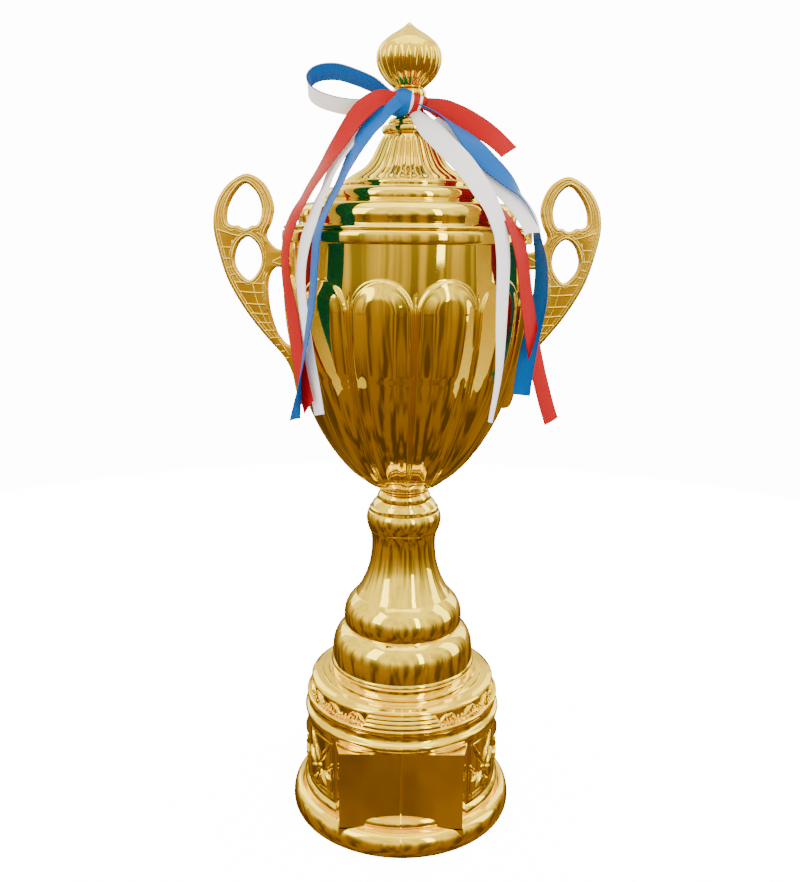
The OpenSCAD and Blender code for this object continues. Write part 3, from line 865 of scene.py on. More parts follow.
STEM_TURNINGS = [
    Turning("stem_skirt_spun", "stem_skirt", Body.CUP, Slot.SHEET, [
        (47.0, 97.5), (46.8, 100.4), (46.8, 100.4), (47.4, 101.2), (47.8, 102.6), (47.4, 104), (46.9, 104.6),
        (46.9, 104.6),
        (46.9, 108), (46.6, 113), (45.8, 118), (44.0, 122.4), (41.6, 125.6), (39.2, 127.6), (38.4, 128),
        (38.4, 128),
        (34, 128)]),
    Turning("stem_step_spun", "stem_step", Body.CUP, Slot.SHEET, [
        (38.0, 128), (38.8, 131), (39, 135), (38.4, 139.6), (36.6, 144.0), (34.2, 147.2), (31.9, 149.6),
        (31.4, 150),
        (31.4, 150), (27, 150)]),
    Turning("stem_column_spun", "stem_column", Body.CUP, Slot.SHEET, [
        (31.2, 150), (31.2, 150), (29.6, 152.6), (27.6, 156), (24.7, 162.4), (22.5, 169.4), (21.2, 177),
        (20.8, 185),
        (21.3, 190), (22.1, 193.2), (22.1, 193.2), (22.9, 194.6), (23.8, 197.6), (24.3, 201), (24.0, 204),
        (23.2, 206.4),
        (23.2, 206.4), (22.6, 206.9), (22.6, 206.9), (22.4, 208.8), (22.4, 208.8), (21.4, 209.4),
        (21.4, 209.4),
        (20.2, 211.9), (18.4, 214.2), (18.4, 214.2), (17.4, 214.8), (17.4, 214.8), (17.2, 216.8),
        (16.2, 218.6),
        (15.6, 219.5), (15.6, 219.5), (9, 219.5)]),
    Turning("bowl_ring_turned", "bowl_ring", Body.CUP, Slot.SHEET, [
        (6, 219.5), (15.0, 219.5), (15.0, 219.5), (15.8, 220.4), (15.9, 221.4), (15.4, 222.1), (15.4, 222.1),
        (16.3, 223.2),
        (17.3, 224.2), (17.4, 225), (17.4, 225), (6, 225)], solid=True),
]

LID_TURNINGS = [
    Turning("lid_shell_spun", "lid_shell", Body.LID, Slot.SHEET, [
        (69.4, 379.2), (70.4, 379.2), (70.4, 379.2), (70.4, 384.2), (70.4, 384.2), (74.2, 384.2),
        (74.9, 384.7),
        (74.9, 385.6), (74.2, 386.2), (74.2, 386.2), (67.2, 386.6), (67.2, 386.6), (66.0, 387.2),
        (66.2, 389.6),
        (66.6, 392.4), (65.9, 395.4), (64.0, 397.8), (61.2, 399.2), (57, 399.7), (53.8, 399.6), (53.8, 399.6),
        (52.2, 400.2), (52.6, 401.8), (52.6, 404.2), (51.5, 406.4), (49.2, 407.8), (45.5, 408.3),
        (42.2, 408.3),
        (42.2, 408.3), (41.2, 408.9), (41.3, 410.4), (40.9, 411.6), (40.2, 412), (40.2, 412), (34, 412)],
            columns=240, thick=0.9),
    Turning("lid_bell_fluted", "lid_bell", Body.LID, Slot.SHEET, [
        (38.6, 412), (38.6, 412.5), (37.0, 413.4), (34.6, 415.2), (30.4, 417.7), (26.2, 420.6), (23.2, 423.8),
        (21, 427.4),
        (19, 431.4), (17.2, 435), (15.4, 438.0), (15.0, 438.6), (15.0, 438.6),
        (9, 438.6)], columns=600, flutes=30,
            flute_depth=0.115, flute_zone=(411.5, 412.2, 434.5, 438.4), sharp=50),
    Turning("lid_collar_turned", "lid_collar", Body.LID, Slot.SHEET, [
        (3, 438.6), (13.6, 438.6), (13.6, 438.6), (14.1, 439.2), (15.2, 440), (15.7, 441.8), (15.3, 443.6),
        (13.8, 444.7),
        (13.8, 444.7), (11.6, 445.0), (11.6, 445.0), (12, 446.2), (11.5, 447.6), (9.8, 448.6), (9.8, 448.6),
        (3, 448.6)],
            solid=True),
    Turning("finial_neck_turned", "finial_neck", Body.LID, Slot.SHEET, [
        (3, 448.6), (7.6, 448.6), (7.6, 448.6), (6.6, 450.2), (6.1, 454), (6.7, 457), (8.3, 458.8),
        (8.3, 458.8),
        (9.7, 460.2), (10.3, 462.2), (9.9, 464), (8.8, 465.2), (8.8, 465.2), (3, 465.2)], solid=True),
    Turning("onion_finial", "finial", Body.LID, Slot.PLASTIC, [
        (3, 465.3), (8.4, 465.3), (8.4, 465.3), (10.8, 467.2), (14.0, 470), (17.0, 474), (18.9, 478.6),
        (19.3, 483),
        (18.5, 486.8), (16.3, 490.2), (12.7, 493.4), (9, 495.9), (6.0, 497.7), (3.6, 499.3), (1.7, 500.9),
        (0.5, 502)],
            solid=True, columns=528, per=6, flutes=22, flute_depth=0.075, flute_zone=(465.5, 469, 476, 491),
            sharp=60),
]


# ---------------------------------------------------------------- bowl


@dataclass
class Bowl:
    """The spun bowl with its pressed petals and rolled rim."""

    petals: int = 12
    across: int = 42
    belt: float = 355.0
    drop: float = 138.5
    power: float = 0.55
    radius: float = 72.8
    low: float = 225.0
    rim_low: float = 376.6
    arch_top: float = 357.5
    arch_rise: float = 19.0
    step: float = 1.2
    turn: float = 3.6
    bulge: float = 2.6
    thick: float = 1.0

    def wall(self, z: Array) -> Array:
        """Outer radius: R (1 - ((belt - z) / drop)^2)^power below the belt, R above it."""
        k = np.clip((self.belt - z) / self.drop, 0, 0.9999)
        return self.radius * (1 - k**2) ** self.power

    def relief(self, z: Array, share: Array) -> Array:
        """Height of the petals over the wall.

        Each petal is a low cushion, 1 - share^2, standing one step proud of the wall inside a round arch. A narrow
        rib runs between two petals.

        Args:
            z: (rows, 1) heights.
            share: (1, cols) place across a petal, -1 to 1.

        Returns:
            (rows, cols) heights in millimetres.
        """
        half = self.wall(z) * math.pi / self.petals
        size = np.clip(half / (self.radius * math.pi / self.petals), 0.25, 1)
        x = share * half
        shoulder = self.arch_top - self.arch_rise
        over = np.clip((z - shoulder) / self.arch_rise, 0, None)
        arch_half = half * np.sqrt(np.clip(1 - over**2, 0, 1)) - 0.9
        inside_side = arch_half - np.abs(x)
        inside_top = (1 - np.sqrt((x / np.maximum(half - 0.9, 1)) ** 2 + over**2)) * np.minimum(half, self.arch_rise)
        depth = np.where(z > shoulder, inside_top, inside_side)
        stand = smoothstep(depth, 0.0, 1.5 * size.clip(0.5, 1))
        rim = np.exp(-(((depth - 1.3) / 0.7) ** 2)) * 0.28 * smoothstep(z, 300, 335)
        across = np.clip(np.abs(x) / np.maximum(half, 1), 0, 1)
        cushion = (1 - across**2) * smoothstep(depth, 0.0, 11.0 * size)
        edge = np.abs(x) - half
        rib = (np.exp(-((edge / (0.55 * size)) ** 2)) * (self.step * 1.1)
               * (1 - smoothstep(z, shoulder - 2, shoulder + 13)))
        fade = smoothstep(z, self.low + 0.5, self.low + 9)
        return (size * (self.step * stand + self.bulge * cushion + rim) + size * rib) * fade - 0.35 * fade * (z < 300)

    def build(self, paints: Paints) -> None:
        """Makes the bowl: petalled wall outside and in, then the rolled rim as its own ring.

        Args:
            paints: the shared materials.
        """
        gold = paints.gilt(SHEET_GOLD)
        u = np.linspace(-1, 1, self.across, endpoint=False)
        u = np.sign(u) * (1 - (1 - np.abs(u)) ** 1.7)
        share = np.tile(u, self.petals)
        width = 2 * math.pi / self.petals
        centre = np.repeat(np.arange(self.petals), self.across) * width + width / 2
        theta = centre + share * width / 2 + math.radians(self.turn)
        z = np.r_[225 + 0.0, np.geomspace(0.4, 24, 16) + 225, np.arange(251.5, 333, 2.2),
                  np.arange(333.5, 359, 0.62),
                  np.arange(360.5, 376.6, 3.0), 376.6]
        outer = self.wall(z)[:, None] + self.relief(z[:, None], share[None, :])
        dull = self.wall(z)[:, None] - self.thick + self.relief(z[:, None], share[None, :])
        floor_r = np.full((1, len(theta)), 4.0)
        radius = np.vstack([floor_r, outer, dull[::-1], floor_r])
        z_in = np.maximum(z, self.low + self.thick)
        height = np.r_[self.low, z, z_in[::-1], self.low + self.thick]
        pts, faces = ring_surface(radius, height, theta, True)
        cup = put("bowl_petalled", pts, faces, Body.CUP, 48)
        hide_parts("bowl")
        dress(cup, gold)
        rim = turned([(71.8, 376.0), (72.9, 376.2), (72.9, 376.2), (74.8, 376.3), (75.7, 377.0), (76, 378.2),
                      (76, 381.4),
                      (75.7, 382.8), (74.8, 383.6), (73.6, 384), (71.8, 384), (71.8, 384)], 5)
        theta = angles(240)
        pts, faces = ring_surface(np.repeat(rim[:, :1], len(theta), 1), rim[:, 1], theta, True)
        dress(put("bowl_rim_rolled", pts, faces, Body.CUP, 60), gold)


# ---------------------------------------------------------------- handles


@dataclass
class Handle:
    """A flat cast handle with two finger holes, raised rims, ladder bars and a bricked tail."""

    thick: float = 6.0
    edge: float = 0.9
    edge_lines: tuple[tuple[float, float], ...] = ((0.6, 1.75),
                                                   (0.42, 3.3))  # half width, distance in from the edge
    upper_gap: float = 1.5
    lower_gap: float = 1.35
    outline: list[tuple[float, float]] = field(default_factory=lambda: [
        (98.5, 416), (109, 409.5), (115.8, 399), (118, 387), (116.2, 374), (110, 353), (99, 333.5), (87, 318),
        (76.5, 306), (71.5, 296), (69, 284), (66.4, 276.2), (61.6, 274.4), (60.6, 279), (62, 289),
        (65.5, 302),
        (71.2, 311), (75.6, 314.5), (80.2, 321), (84, 333), (85.4, 345), (84.6, 355), (81, 360.4),
        (76.5, 361),
        (72.4, 361.2), (72.2, 366), (72.4, 370.8), (76.2, 371.2), (81.6, 373.4), (85.8, 380), (82.6, 388),
        (81, 397),
        (84.4, 407.5), (90.5, 414)])
    upper: list[tuple[float, float]] = field(default_factory=lambda: [
        (98, 410.4), (104.6, 404.6), (109, 396), (109.6, 388), (106.6, 385.8), (103.4, 385.9), (100.6, 384.4),
        (97.4, 384.2),
        (94.6, 385.8), (91.6, 386.2), (89.2, 390), (88.4, 397), (91.4, 405.4)])
    lower: list[tuple[float, float]] = field(default_factory=lambda: [
        (97, 379), (102.8, 375), (105.7, 366), (103.6, 358.4), (97.4, 353), (92, 357.4), (89, 365.4),
        (91.2, 374.4)])
    lines: list[tuple[float, list[tuple[float, float]]]] = field(default_factory=lambda: [
        # half width of the raised line, then its points
        (0.62, [(115.6, 383.2), (108.8, 381), (103.6, 379.6), (101.6, 379.6)]),
        (0.55, [(91.6, 381.6), (89.4, 380.4), (87.6, 379.0)]),
        (0.55, [(113.6, 372.7), (106.2, 372.5)]), (0.55, [(112.0, 365.9), (107.6, 365.7)]),
        (0.55, [(110.2, 360.3), (106.4, 360.7)]), (0.55, [(108.6, 355.8), (103.8, 356.6)]),
        (0.5, [(106.4, 377.2), (107, 371), (107.4, 365.8), (106.2, 360.4), (103.6, 355.8), (100.3, 352.2)]),
        (0.62, [(106.2, 351.8), (94.1, 350.9), (87.2, 350.6)]),
        (0.62, [(103.4, 346.0), (93.4, 345.2), (87.6, 345.4)]),
        (0.62, [(99.8, 338.7), (91.1, 338.1), (86.8, 338.1)]),
        (0.6, [(96.4, 332.9), (88.8, 332.1), (85.2, 332.1)]),
        (0.6, [(92.2, 327.1), (85.6, 326.7), (83.6, 326.9)]),
        (0.55, [(88.2, 322.2), (83, 322), (81.4, 322.2)]),
        (0.55, [(84.6, 317.6), (80.4, 317.6), (78.8, 317.8)]), (0.5, [(81.2, 313.2), (78.2, 313.3)]),
        (0.5, [(78.0, 309.2), (75.2, 309.4)]), (0.5, [(75.4, 305.0), (72.8, 305.4)]),
        (0.5, [(94.8, 350.9), (93.8, 345.5), (92, 339.1), (89.2, 332.5), (86.5, 326.7), (82.4, 320.9),
               (79.2, 316.2),
               (75.8, 311.4), (72.2, 305.6)]),
        (0.5, [(87.8, 352.6), (88.0, 344.8), (87.0, 337.4), (85.4, 330.9), (83.2, 325.2), (80.8, 320.8)]),
        (0.55, [(82.4, 364.4), (78.6, 366.2), (74.2, 368.4)]),
        (0.55, [(82.4, 364.2), (78.4, 362.8), (74.2, 362.6)]),
        (0.5, [(110.4, 384.6), (107, 382.6), (103.8, 383.4), (100.6, 381.6), (97.3, 382.1), (94.4, 383.4),
               (91.6, 383.2)])])

    def plate(self, name: str) -> Array:
        """The flat plate with rounded edges: a filled curve of the outline and holes, extruded and bevelled.

        Args:
            name: name for the working curve.

        Returns:
            A mesh datablock in metres, lying in the X-Z plane.
        """
        curve = bpy.data.curves.new(name, "CURVE")
        curve.dimensions = "2D"
        curve.fill_mode = "BOTH"
        curve.extrude = (self.thick / 2 - self.edge) * MM
        curve.bevel_depth = self.edge * MM
        curve.bevel_resolution = 3
        curve.offset = -self.edge * MM
        for points in (self.outline, self.upper, self.lower):
            line = spline(np.array(points), 7, True) * MM
            part = curve.splines.new("POLY")
            part.points.add(len(line) - 1)
            part.points.foreach_set("co", np.c_[line, np.zeros(len(line)), np.ones(len(line))].ravel())
            part.use_cyclic_u = True
        carrier = bpy.data.objects.new(name, curve)
        bpy.context.scene.collection.objects.link(carrier)
        bpy.context.view_layer.update()
        mesh = bpy.data.meshes.new_from_object(carrier.evaluated_get(bpy.context.evaluated_depsgraph_get()))
        bpy.data.objects.remove(carrier)
        return mesh

    @staticmethod
    def bead(path: Array, half: float, y: float, out: float, closed: bool) -> tuple[Array, Array]:
        """A raised half-round line: a half circle carried along a path lying on a face of the plate.

        Args:
            path: (n, 2) places on the face.
            half: half width and height of the line.
            y: the face's depth.
            out: +1 or -1, the way the face looks.
            closed: joins the ends.

        Returns:
            Vertices and quads.
        """
        if closed:
            tangent = unit(np.roll(path, -1, 0) - np.roll(path, 1, 0))
        else:
            tangent = unit(np.gradient(path, axis=0))
        normal = np.stack([tangent[:, 1], -tangent[:, 0]], 1)
        turn = np.linspace(0, 2 * math.pi, 8, endpoint=False)
        side, rise = np.cos(turn) * half, np.sin(turn) * half * 0.85
        fade = np.ones(len(path))
        if not closed:
            fade[0] = fade[-1] = 0.05
        flat = path[:, None, :] + normal[:, None, :] * (side[None, :] * fade[:, None])[..., None]
        depth = y + out * (rise[None, :] * fade[:, None])
        pts = np.stack([flat[..., 0], depth, flat[..., 1]], -1)
        return pts.reshape(-1, 3), grid_faces(len(path), len(turn), closed, True)

    def build(self, side: int, paints: Paints) -> None:
        """Makes one handle; side is +1 for the right and -1 for the left.

        Args:
            side: which side of the cup.
            paints: the shared materials.
        """
        word = "right" if side > 0 else "left"
        mesh = self.plate(f"outline_{word}")
        co = np.zeros(len(mesh.vertices) * 3, np.float32)
        mesh.vertices.foreach_get("co", co)
        co = co.reshape(-1, 3)
        flat = np.stack([side * co[:, 0], co[:, 2], co[:, 1]], 1)
        mesh.vertices.foreach_set("co", flat.astype(np.float32).ravel())
        mesh.name = f"handle_plate_{word}"
        mesh.update()
        work = bmesh.new()
        work.from_mesh(mesh)
        bmesh.ops.remove_doubles(work, verts=work.verts, dist=1e-6)
        bmesh.ops.recalc_face_normals(work, faces=work.faces)
        work.to_mesh(mesh)
        work.free()
        mesh.polygons.foreach_set("use_smooth", np.ones(len(mesh.polygons), bool))
        mesh.set_sharp_from_angle(angle=math.radians(38))
        plate = bpy.data.objects.new(f"handle_plate_{word}", mesh)
        bpy.context.scene.collection.objects.link(plate)
        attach(plate, Body.CUP.value)
        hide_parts(f"handle_{word}")
        dress(plate, paints.gilt(CAST_GOLD))

        points, quads, count = [], [], 0
        for face in (-1, 1):
            for half, path, closed in self.face_lines():
                p, q = self.bead(path, half, face * self.thick / 2, face, closed)
                points.append(p)
                quads.append(q + count)
                count += len(p)
        pts = np.vstack(points) * np.array([side, 1, 1])
        mesh_faces = np.vstack(quads)
        relief = put(f"handle_relief_{word}", pts, mesh_faces.tolist(), Body.CUP, 70)
        work = bmesh.new()
        work.from_mesh(relief.data)
        bmesh.ops.holes_fill(work, edges=[e for e in work.edges if e.is_boundary], sides=8)
        bmesh.ops.recalc_face_normals(work, faces=work.faces)
        work.to_mesh(relief.data)
        work.free()
        # The raised lines get the paler gold, a painted highlight.
        dress(relief, paints.gilt(CREST_PAINTED_HIGHLIGHT_GOLD))

    def face_lines(self) -> list[tuple[float, Array, bool]]:
        """Every raised line on one face: along the outer edge, round both holes, then the drawn lines.

        Returns:
            (half width, path, closed) of each line.
        """
        border = spline(np.array(self.outline), 7, True)
        x, z = border[:, 0], border[:, 1]
        keep = (z > 303) & ~((x < 83.6) & (z > 300) & (z < 384)) & ((z > 330) | (x > 72))
        order = (np.arange(len(border)) + int(np.argmax(~keep))) % len(border)
        cuts = np.flatnonzero(np.diff(keep[order].astype(int)))
        runs = [r for r in np.split(order, cuts + 1) if keep[r[0]] and len(r) > 6]
        found = [(half, (border + gap * self.inward(border))[run], False)
                 for half, gap in self.edge_lines for run in runs]
        for hole, gap in ((self.upper, self.upper_gap), (self.lower, self.lower_gap)):
            ring = spline(np.array(hole), 7, True)
            found.append((0.66, ring - gap * self.inward(ring), True))
            found.append((0.4, ring - (gap + 1.5) * self.inward(ring), True))
        return found + [(half, spline(np.array(marks), 6), False) for half, marks in self.lines]

    @staticmethod
    def inward(loop: Array) -> Array:
        """Unit vectors into a closed loop, from the sign of its area.

        Args:
            loop: (n, 2) points.

        Returns:
            (n, 2) directions.
        """
        tangent = unit(np.roll(loop, -1, 0) - np.roll(loop, 1, 0))
        x, z = loop[:, 0], loop[:, 1]
        turn = np.sign(np.sum(x * np.roll(z, -1) - np.roll(x, -1) * z))
        return turn * np.stack([-tangent[:, 1], tangent[:, 0]], 1)


# ---------------------------------------------------------------- ribbons


@dataclass
class Strand:
    """One strip of ribbon: centre points with the way its face looks, in degrees from the front."""

    name: str
    node: str
    slot: Slot
    path: list[tuple[float, float, float, float]]
    width: float = 12.7
    thick: float = 0.28
    cup: float = 0.5
    pinch: float = 0.55
    pinch_span: float = 0.12
    slant: float = 0.0

    def build(self, finish: bpy.types.Material) -> bpy.types.Object:
        """Sweeps the strip: P = C(s) + w W(s) + cup (w / half)^2 N(s), narrowed to a pinch where it leaves the knot.

        Args:
            finish: the satin.

        Returns:
            The strip.
        """
        fine = eased(np.array(self.path, float), 8)
        centre, look = fine[:, :3], np.radians(fine[:, 3])
        run = np.r_[0, np.cumsum(np.linalg.norm(np.diff(centre, axis=0), axis=1))]
        tangent = unit(np.gradient(centre, axis=0))
        face = np.stack([np.sin(look), -np.cos(look), np.zeros(len(look))], 1)
        across = unit(np.cross(tangent, face))
        out = unit(np.cross(across, tangent))
        share = run / run[-1]
        narrow = self.pinch + (1 - self.pinch) * smoothstep(share, 0.0, self.pinch_span)
        return strip(self.name, centre, across, out, narrow * self.width / 2, run, self, finish)


def strip(name: str, centre: Array, across: Array, out: Array, half: Array, run: Array, strand: Strand,
          finish: bpy.types.Material) -> bpy.types.Object:
    """A thin closed strip with a map in metres: u across the width and v along the run.

    Args:
        name: the piece's name.
        centre: (n, 3) middle line.
        across: (n, 3) directions of the width.
        out: (n, 3) directions the face looks.
        half: (n,) half widths.
        run: (n,) lengths along the middle line.
        strand: width, thickness, cupping and slant of the ribbon, and the node it stands for.
        finish: the satin.

    Returns:
        The strip.
    """
    steps = np.linspace(-1, 1, 9)
    bow = strand.cup * (1 - steps**2)
    shift = strand.slant * steps
    mid = (centre[:, None, :] + across[:, None, :] * (half[:, None] * steps)[..., None]
           + out[:, None, :] * (bow[None, :, None] + 0 * half[:, None, None]))
    along = unit(np.gradient(centre, axis=0))
    last = smoothstep(run, run[-1] - 12, run[-1])
    mid = mid + along[:, None, :] * (last[:, None] * shift[None, :])[..., None]
    front = mid + out[:, None, :] * strand.thick / 2
    rear = (mid - out[:, None, :] * strand.thick / 2)[:, ::-1]
    both = np.concatenate([front, rear], 1)
    rows, cols = both.shape[:2]
    faces = grid_faces(rows, cols, False, True)
    n = cols // 2
    k = np.arange(n - 1)
    start = np.stack([k, cols - 1 - k, cols - 2 - k, k + 1], 1)
    base = (rows - 1) * cols
    stop = np.stack([base + k, base + k + 1, base + cols - 2 - k, base + cols - 1 - k], 1)
    every = np.vstack([faces, start, stop])
    made = put(name, both.reshape(-1, 3), every.tolist(), Body.LID, 60)
    u = np.concatenate([steps, steps[::-1]])[None, :] * half[:, None]
    v = np.broadcast_to(run[:, None], u.shape)
    coords = np.stack([u.ravel(), v.ravel()], 1) * MM
    layer = made.data.uv_layers.new(name="UVMap")
    corner = np.zeros(len(made.data.loops), np.int32)
    made.data.loops.foreach_get("vertex_index", corner)
    layer.data.foreach_set("uv", coords[corner].astype(np.float32).ravel())
    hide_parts(strand.node)
    dress(made, finish)
    return made


RED_LEFT = Strand("red_tail_left", "ribbon_red_left", Slot.RED, [
    (-7, -13.5, 458, -14), (-13, -17.5, 458.6, -22), (-18, -20.5, 457.4, -26), (-23, -22.5, 454, -30),
    (-29, -24, 448, -33), (-34, -26, 441, -36), (-38, -29, 434, -39), (-42.5, -32, 427, -44),
    (-46.5, -36, 420, -48),
    (-50.5, -40, 413, -52), (-54.5, -43, 407, -56), (-58, -46, 400, -59), (-62, -48, 394, -61),
    (-65, -48, 387, -63),
    (-68, -46, 380, -64), (-70, -43, 367, -63), (-69, -42, 353, -60), (-66, -44, 339, -55),
    (-64, -47, 325, -52),
    (-62, -51, 312, -50), (-59, -57, 298, -50), (-55, -62, 285, -52)], slant=2.0)
WHITE_LEFT = Strand("white_tail_left", "ribbon_white_left", Slot.WHITE, [
    (-8, -8, 454, -25), (-14, -12, 454, -28), (-20, -15, 451, -32), (-27, -20, 444, -38),
    (-33, -25, 435, -42),
    (-37, -30, 427, -45), (-41, -36, 420, -48), (-44, -41, 413, -50), (-46, -47, 406, -52),
    (-49, -51, 400, -54),
    (-51, -54, 393, -56), (-53, -56, 387, -58), (-56, -56, 380, -60), (-59, -53, 368, -61),
    (-60, -52, 354, -61),
    (-59, -52, 340, -60), (-57, -54, 326, -58), (-55, -57, 312, -57), (-52, -60, 298, -57),
    (-49, -63, 281, -59)])
BLUE_LEFT = Strand("blue_tail_left", "ribbon_blue_left", Slot.BLUE, [
    (-4, -14.5, 458, -8), (-8, -16.5, 455, -16), (-13, -19, 451.5, -22), (-17, -23, 447, -28),
    (-22, -27, 441, -33),
    (-26, -32, 434, -38), (-30, -37, 427, -42), (-33, -42, 420, -46), (-36, -48, 413, -50),
    (-39, -54, 406, -53),
    (-42, -58, 400, -56), (-45, -62, 393, -60), (-47.5, -65, 387, -63), (-49.5, -66, 380, -66),
    (-50.5, -66, 368, -67),
    (-51.5, -65, 354, -68), (-53, -63.5, 341, -70), (-55.5, -62.5, 327, -74), (-58, -62, 312, -80),
    (-60, -62, 298, -92),
    (-62, -63, 284, -106), (-63, -63, 278, -112)])
RED_SHORT = Strand("red_end_short", "ribbon_red_short", Slot.RED, [
    (8, -10, 456, 20), (13, -12, 455, 22), (23, -16, 451, 25), (33, -18, 447, 28), (43, -19, 441, 30),
    (50, -21, 436, 32), (58, -25, 428, 34)], pinch_span=0.25)
BLUE_RIGHT = Strand("blue_tail_right", "ribbon_blue_right", Slot.BLUE, [
    (6, -12, 454.5, 76), (14, -15, 451, 74), (24, -20, 445, 64), (31, -25, 438, 44), (38, -31, 430, 30),
    (45, -34, 422, 34), (53, -37, 415, 46), (60, -38, 408, 64), (65, -39, 402, 80), (70, -40, 394, 92),
    (73, -38, 387, 100), (75, -36, 378, 108), (78, -33, 367, 116), (79, -30, 353, 120), (77.5, -31, 338, 126),
    (74, -35, 326, 132), (70.5, -39, 310, 134), (68, -43, 290, 134)])
WHITE_RIGHT = Strand("white_tail_right", "ribbon_white_right", Slot.WHITE, [
    (3, -9, 451, 0), (8, -15, 445, 4), (15, -23, 438, 8), (22, -31, 430, 10), (29, -38, 423, 14),
    (35, -46, 415, 18), (40, -52, 407, 24), (45, -56, 399, 32), (48, -60, 392, 40), (51, -61, 384, 46),
    (52, -62, 377, 48), (53, -62, 366, 50), (53, -61, 353, 52), (53, -60, 340, 54), (53, -60, 326, 58),
    (53, -60, 312, 64), (52, -61, 298, 70), (48, -65, 278, 74)], pinch_span=0.1)
RED_RIGHT = Strand("red_tail_right", "ribbon_red_right", Slot.RED, [
    (5, -9, 451, 10), (11, -11, 445, 20), (18, -18, 437, 32), (25, -25, 429, 44), (32, -31, 420, 50),
    (39, -37, 411, 54), (45, -42, 404, 56), (50.5, -47.5, 397, 57), (56, -52, 390, 56), (60, -55, 383, 55),
    (63, -54, 373, 53), (65, -52, 366, 52), (67, -48, 353, 50), (70, -44, 339, 48), (73, -40, 325, 46),
    (77, -34, 309, 44), (82, -27, 293, 42), (88, -19, 276, 42), (91, -15, 269, 42)], slant=-2.5)
WHITE_SHORT = Strand("white_end_short", "ribbon_white_short", Slot.WHITE, [
    (16, -16, 447, 34), (26, -22, 438, 34), (35, -27, 429, 34), (44, -33, 418, 33), (50, -37, 411, 32),
    (57, -41, 404, 31), (63, -44, 397, 30), (68, -46, 390, 32), (70, -48, 383, 36)])
TAILS = [RED_LEFT, WHITE_LEFT, BLUE_LEFT, RED_SHORT, BLUE_RIGHT, WHITE_RIGHT, RED_RIGHT, WHITE_SHORT]


@dataclass
class Bow:
    """The loop and the knot that gathers every strand round the finial's neck."""

    loop: list[tuple[float, float, float]] = field(default_factory=lambda: [
        (-8, -6, 460), (-14, -4, 463.5), (-22, -4, 467.5), (-31, -4, 471), (-41, -5, 473.6), (-50, -7, 473.2),
        (-56, -8.5, 470.6), (-58.6, -10, 466), (-56.6, -12, 460.6), (-50, -13, 456.6), (-39, -13, 453.8),
        (-28, -11, 453.2), (-18, -8, 455), (-9, -6.5, 456.5)])
    tilt: float = 35.0
    gap: float = 0.5
    folds: list[tuple[str, Slot, float, float, float, float]] = field(default_factory=lambda: [
        # name, slot, sideways middle, depth under the outermost fold, half width, swell
        ("blue_fold", Slot.BLUE, -4.4, 0.0, 5.6, 1.6), ("white_fold_inner", Slot.WHITE, -1.6, 1.3, 5.4, 0.8),
        ("red_fold_inner", Slot.RED, 0.6, 1.8, 5.6, 1.0),
        ("white_fold_outer", Slot.WHITE, 2.4, 2.6, 5.4, 0.7),
        ("red_fold_outer", Slot.RED, 4.4, 3.1, 5.6, 0.8)])

    def build(self, satins: dict[Slot, bpy.types.Material]) -> None:
        """Makes the two-ply loop and the folded crown of the knot.

        Args:
            satins: the ribbon materials by slot.
        """
        fine = spline(np.array(self.loop, float), 10)
        run = np.r_[0, np.cumsum(np.linalg.norm(np.diff(fine, axis=0), axis=1))]
        tangent = unit(np.gradient(fine, axis=0))
        lean = math.radians(self.tilt)
        wide = np.broadcast_to([0.0, -math.cos(lean), math.sin(lean)], fine.shape)
        across = unit(wide - tangent * np.sum(wide * tangent, 1, keepdims=True))
        out = unit(np.cross(across, tangent))
        share = run / run[-1]
        pinch = 0.45 + 0.55 * smoothstep(share, 0, 0.16) * (1 - smoothstep(share, 0.84, 1))
        half = 6.35 * pinch
        blue = Strand("blue_loop", "ribbon_loop", Slot.BLUE, [], cup=0.2)
        white = Strand("white_loop", "ribbon_loop", Slot.WHITE, [], cup=0.2)
        strip("blue_loop", fine + out * self.gap, across, out, half, run, blue, satins[Slot.BLUE])
        strip("white_loop", fine - out * self.gap * 0.6, across, out, half, run, white, satins[Slot.WHITE])

        for name, slot, middle, drop, half_width, swell in self.folds:
            t = np.radians(np.linspace(-100, 128, 44))
            arch = np.stack([np.full(len(t), middle) + 1.2 * np.sin(t), -8.4 - (6.2 - drop) * np.cos(t),
                             456.4 + (6.4 - drop) * np.sin(t)], 1)
            along = np.r_[0, np.cumsum(np.linalg.norm(np.diff(arch, axis=0), axis=1))]
            way = unit(np.gradient(arch, axis=0))
            out = unit(np.stack([0 * t, -np.cos(t), np.sin(t)], 1))
            side = unit(np.cross(way, out))
            fold = Strand(name, "ribbon_knot", slot, [], cup=swell)
            width = half_width * (0.88 + 0.12 * np.cos(t))
            strip(name, arch, side, unit(np.cross(side, way)), width, along, fold, satins[slot])


# ---------------------------------------------------------------- studio


@dataclass(frozen=True)
class Lamp:
    """A rectangular soft light: where it hangs, its size in metres, its power in watts and its tint."""

    name: str
    place: tuple[float, float, float]
    size: tuple[float, float]
    power: float
    color: tuple[float, float, float] = (1, 1, 1)


LIGHTS_AIM = (0, 0, 0.26)
LAMPS = (
    Lamp("key_left", (-1.1, -0.9, 1.0), (0.5, 1.2), 7.5, (1, 0.98, 0.95)),
    Lamp("window_right", (0.75, -1.3, 0.85), (0.22, 1.2), 5.0, (1, 0.99, 0.97)),
    Lamp("side_right", (1.4, 0.1, 0.7), (0.5, 1.4), 6, (1, 0.99, 0.97)),
    Lamp("overhead", (0.0, -0.1, 1.7), (1.6, 1.2), 9),
    Lamp("back_left", (-1.0, 1.1, 0.9), (0.7, 1.2), 5),
    Lamp("back_right", (1.0, 1.1, 0.7), (0.6, 1.2), 4),
)
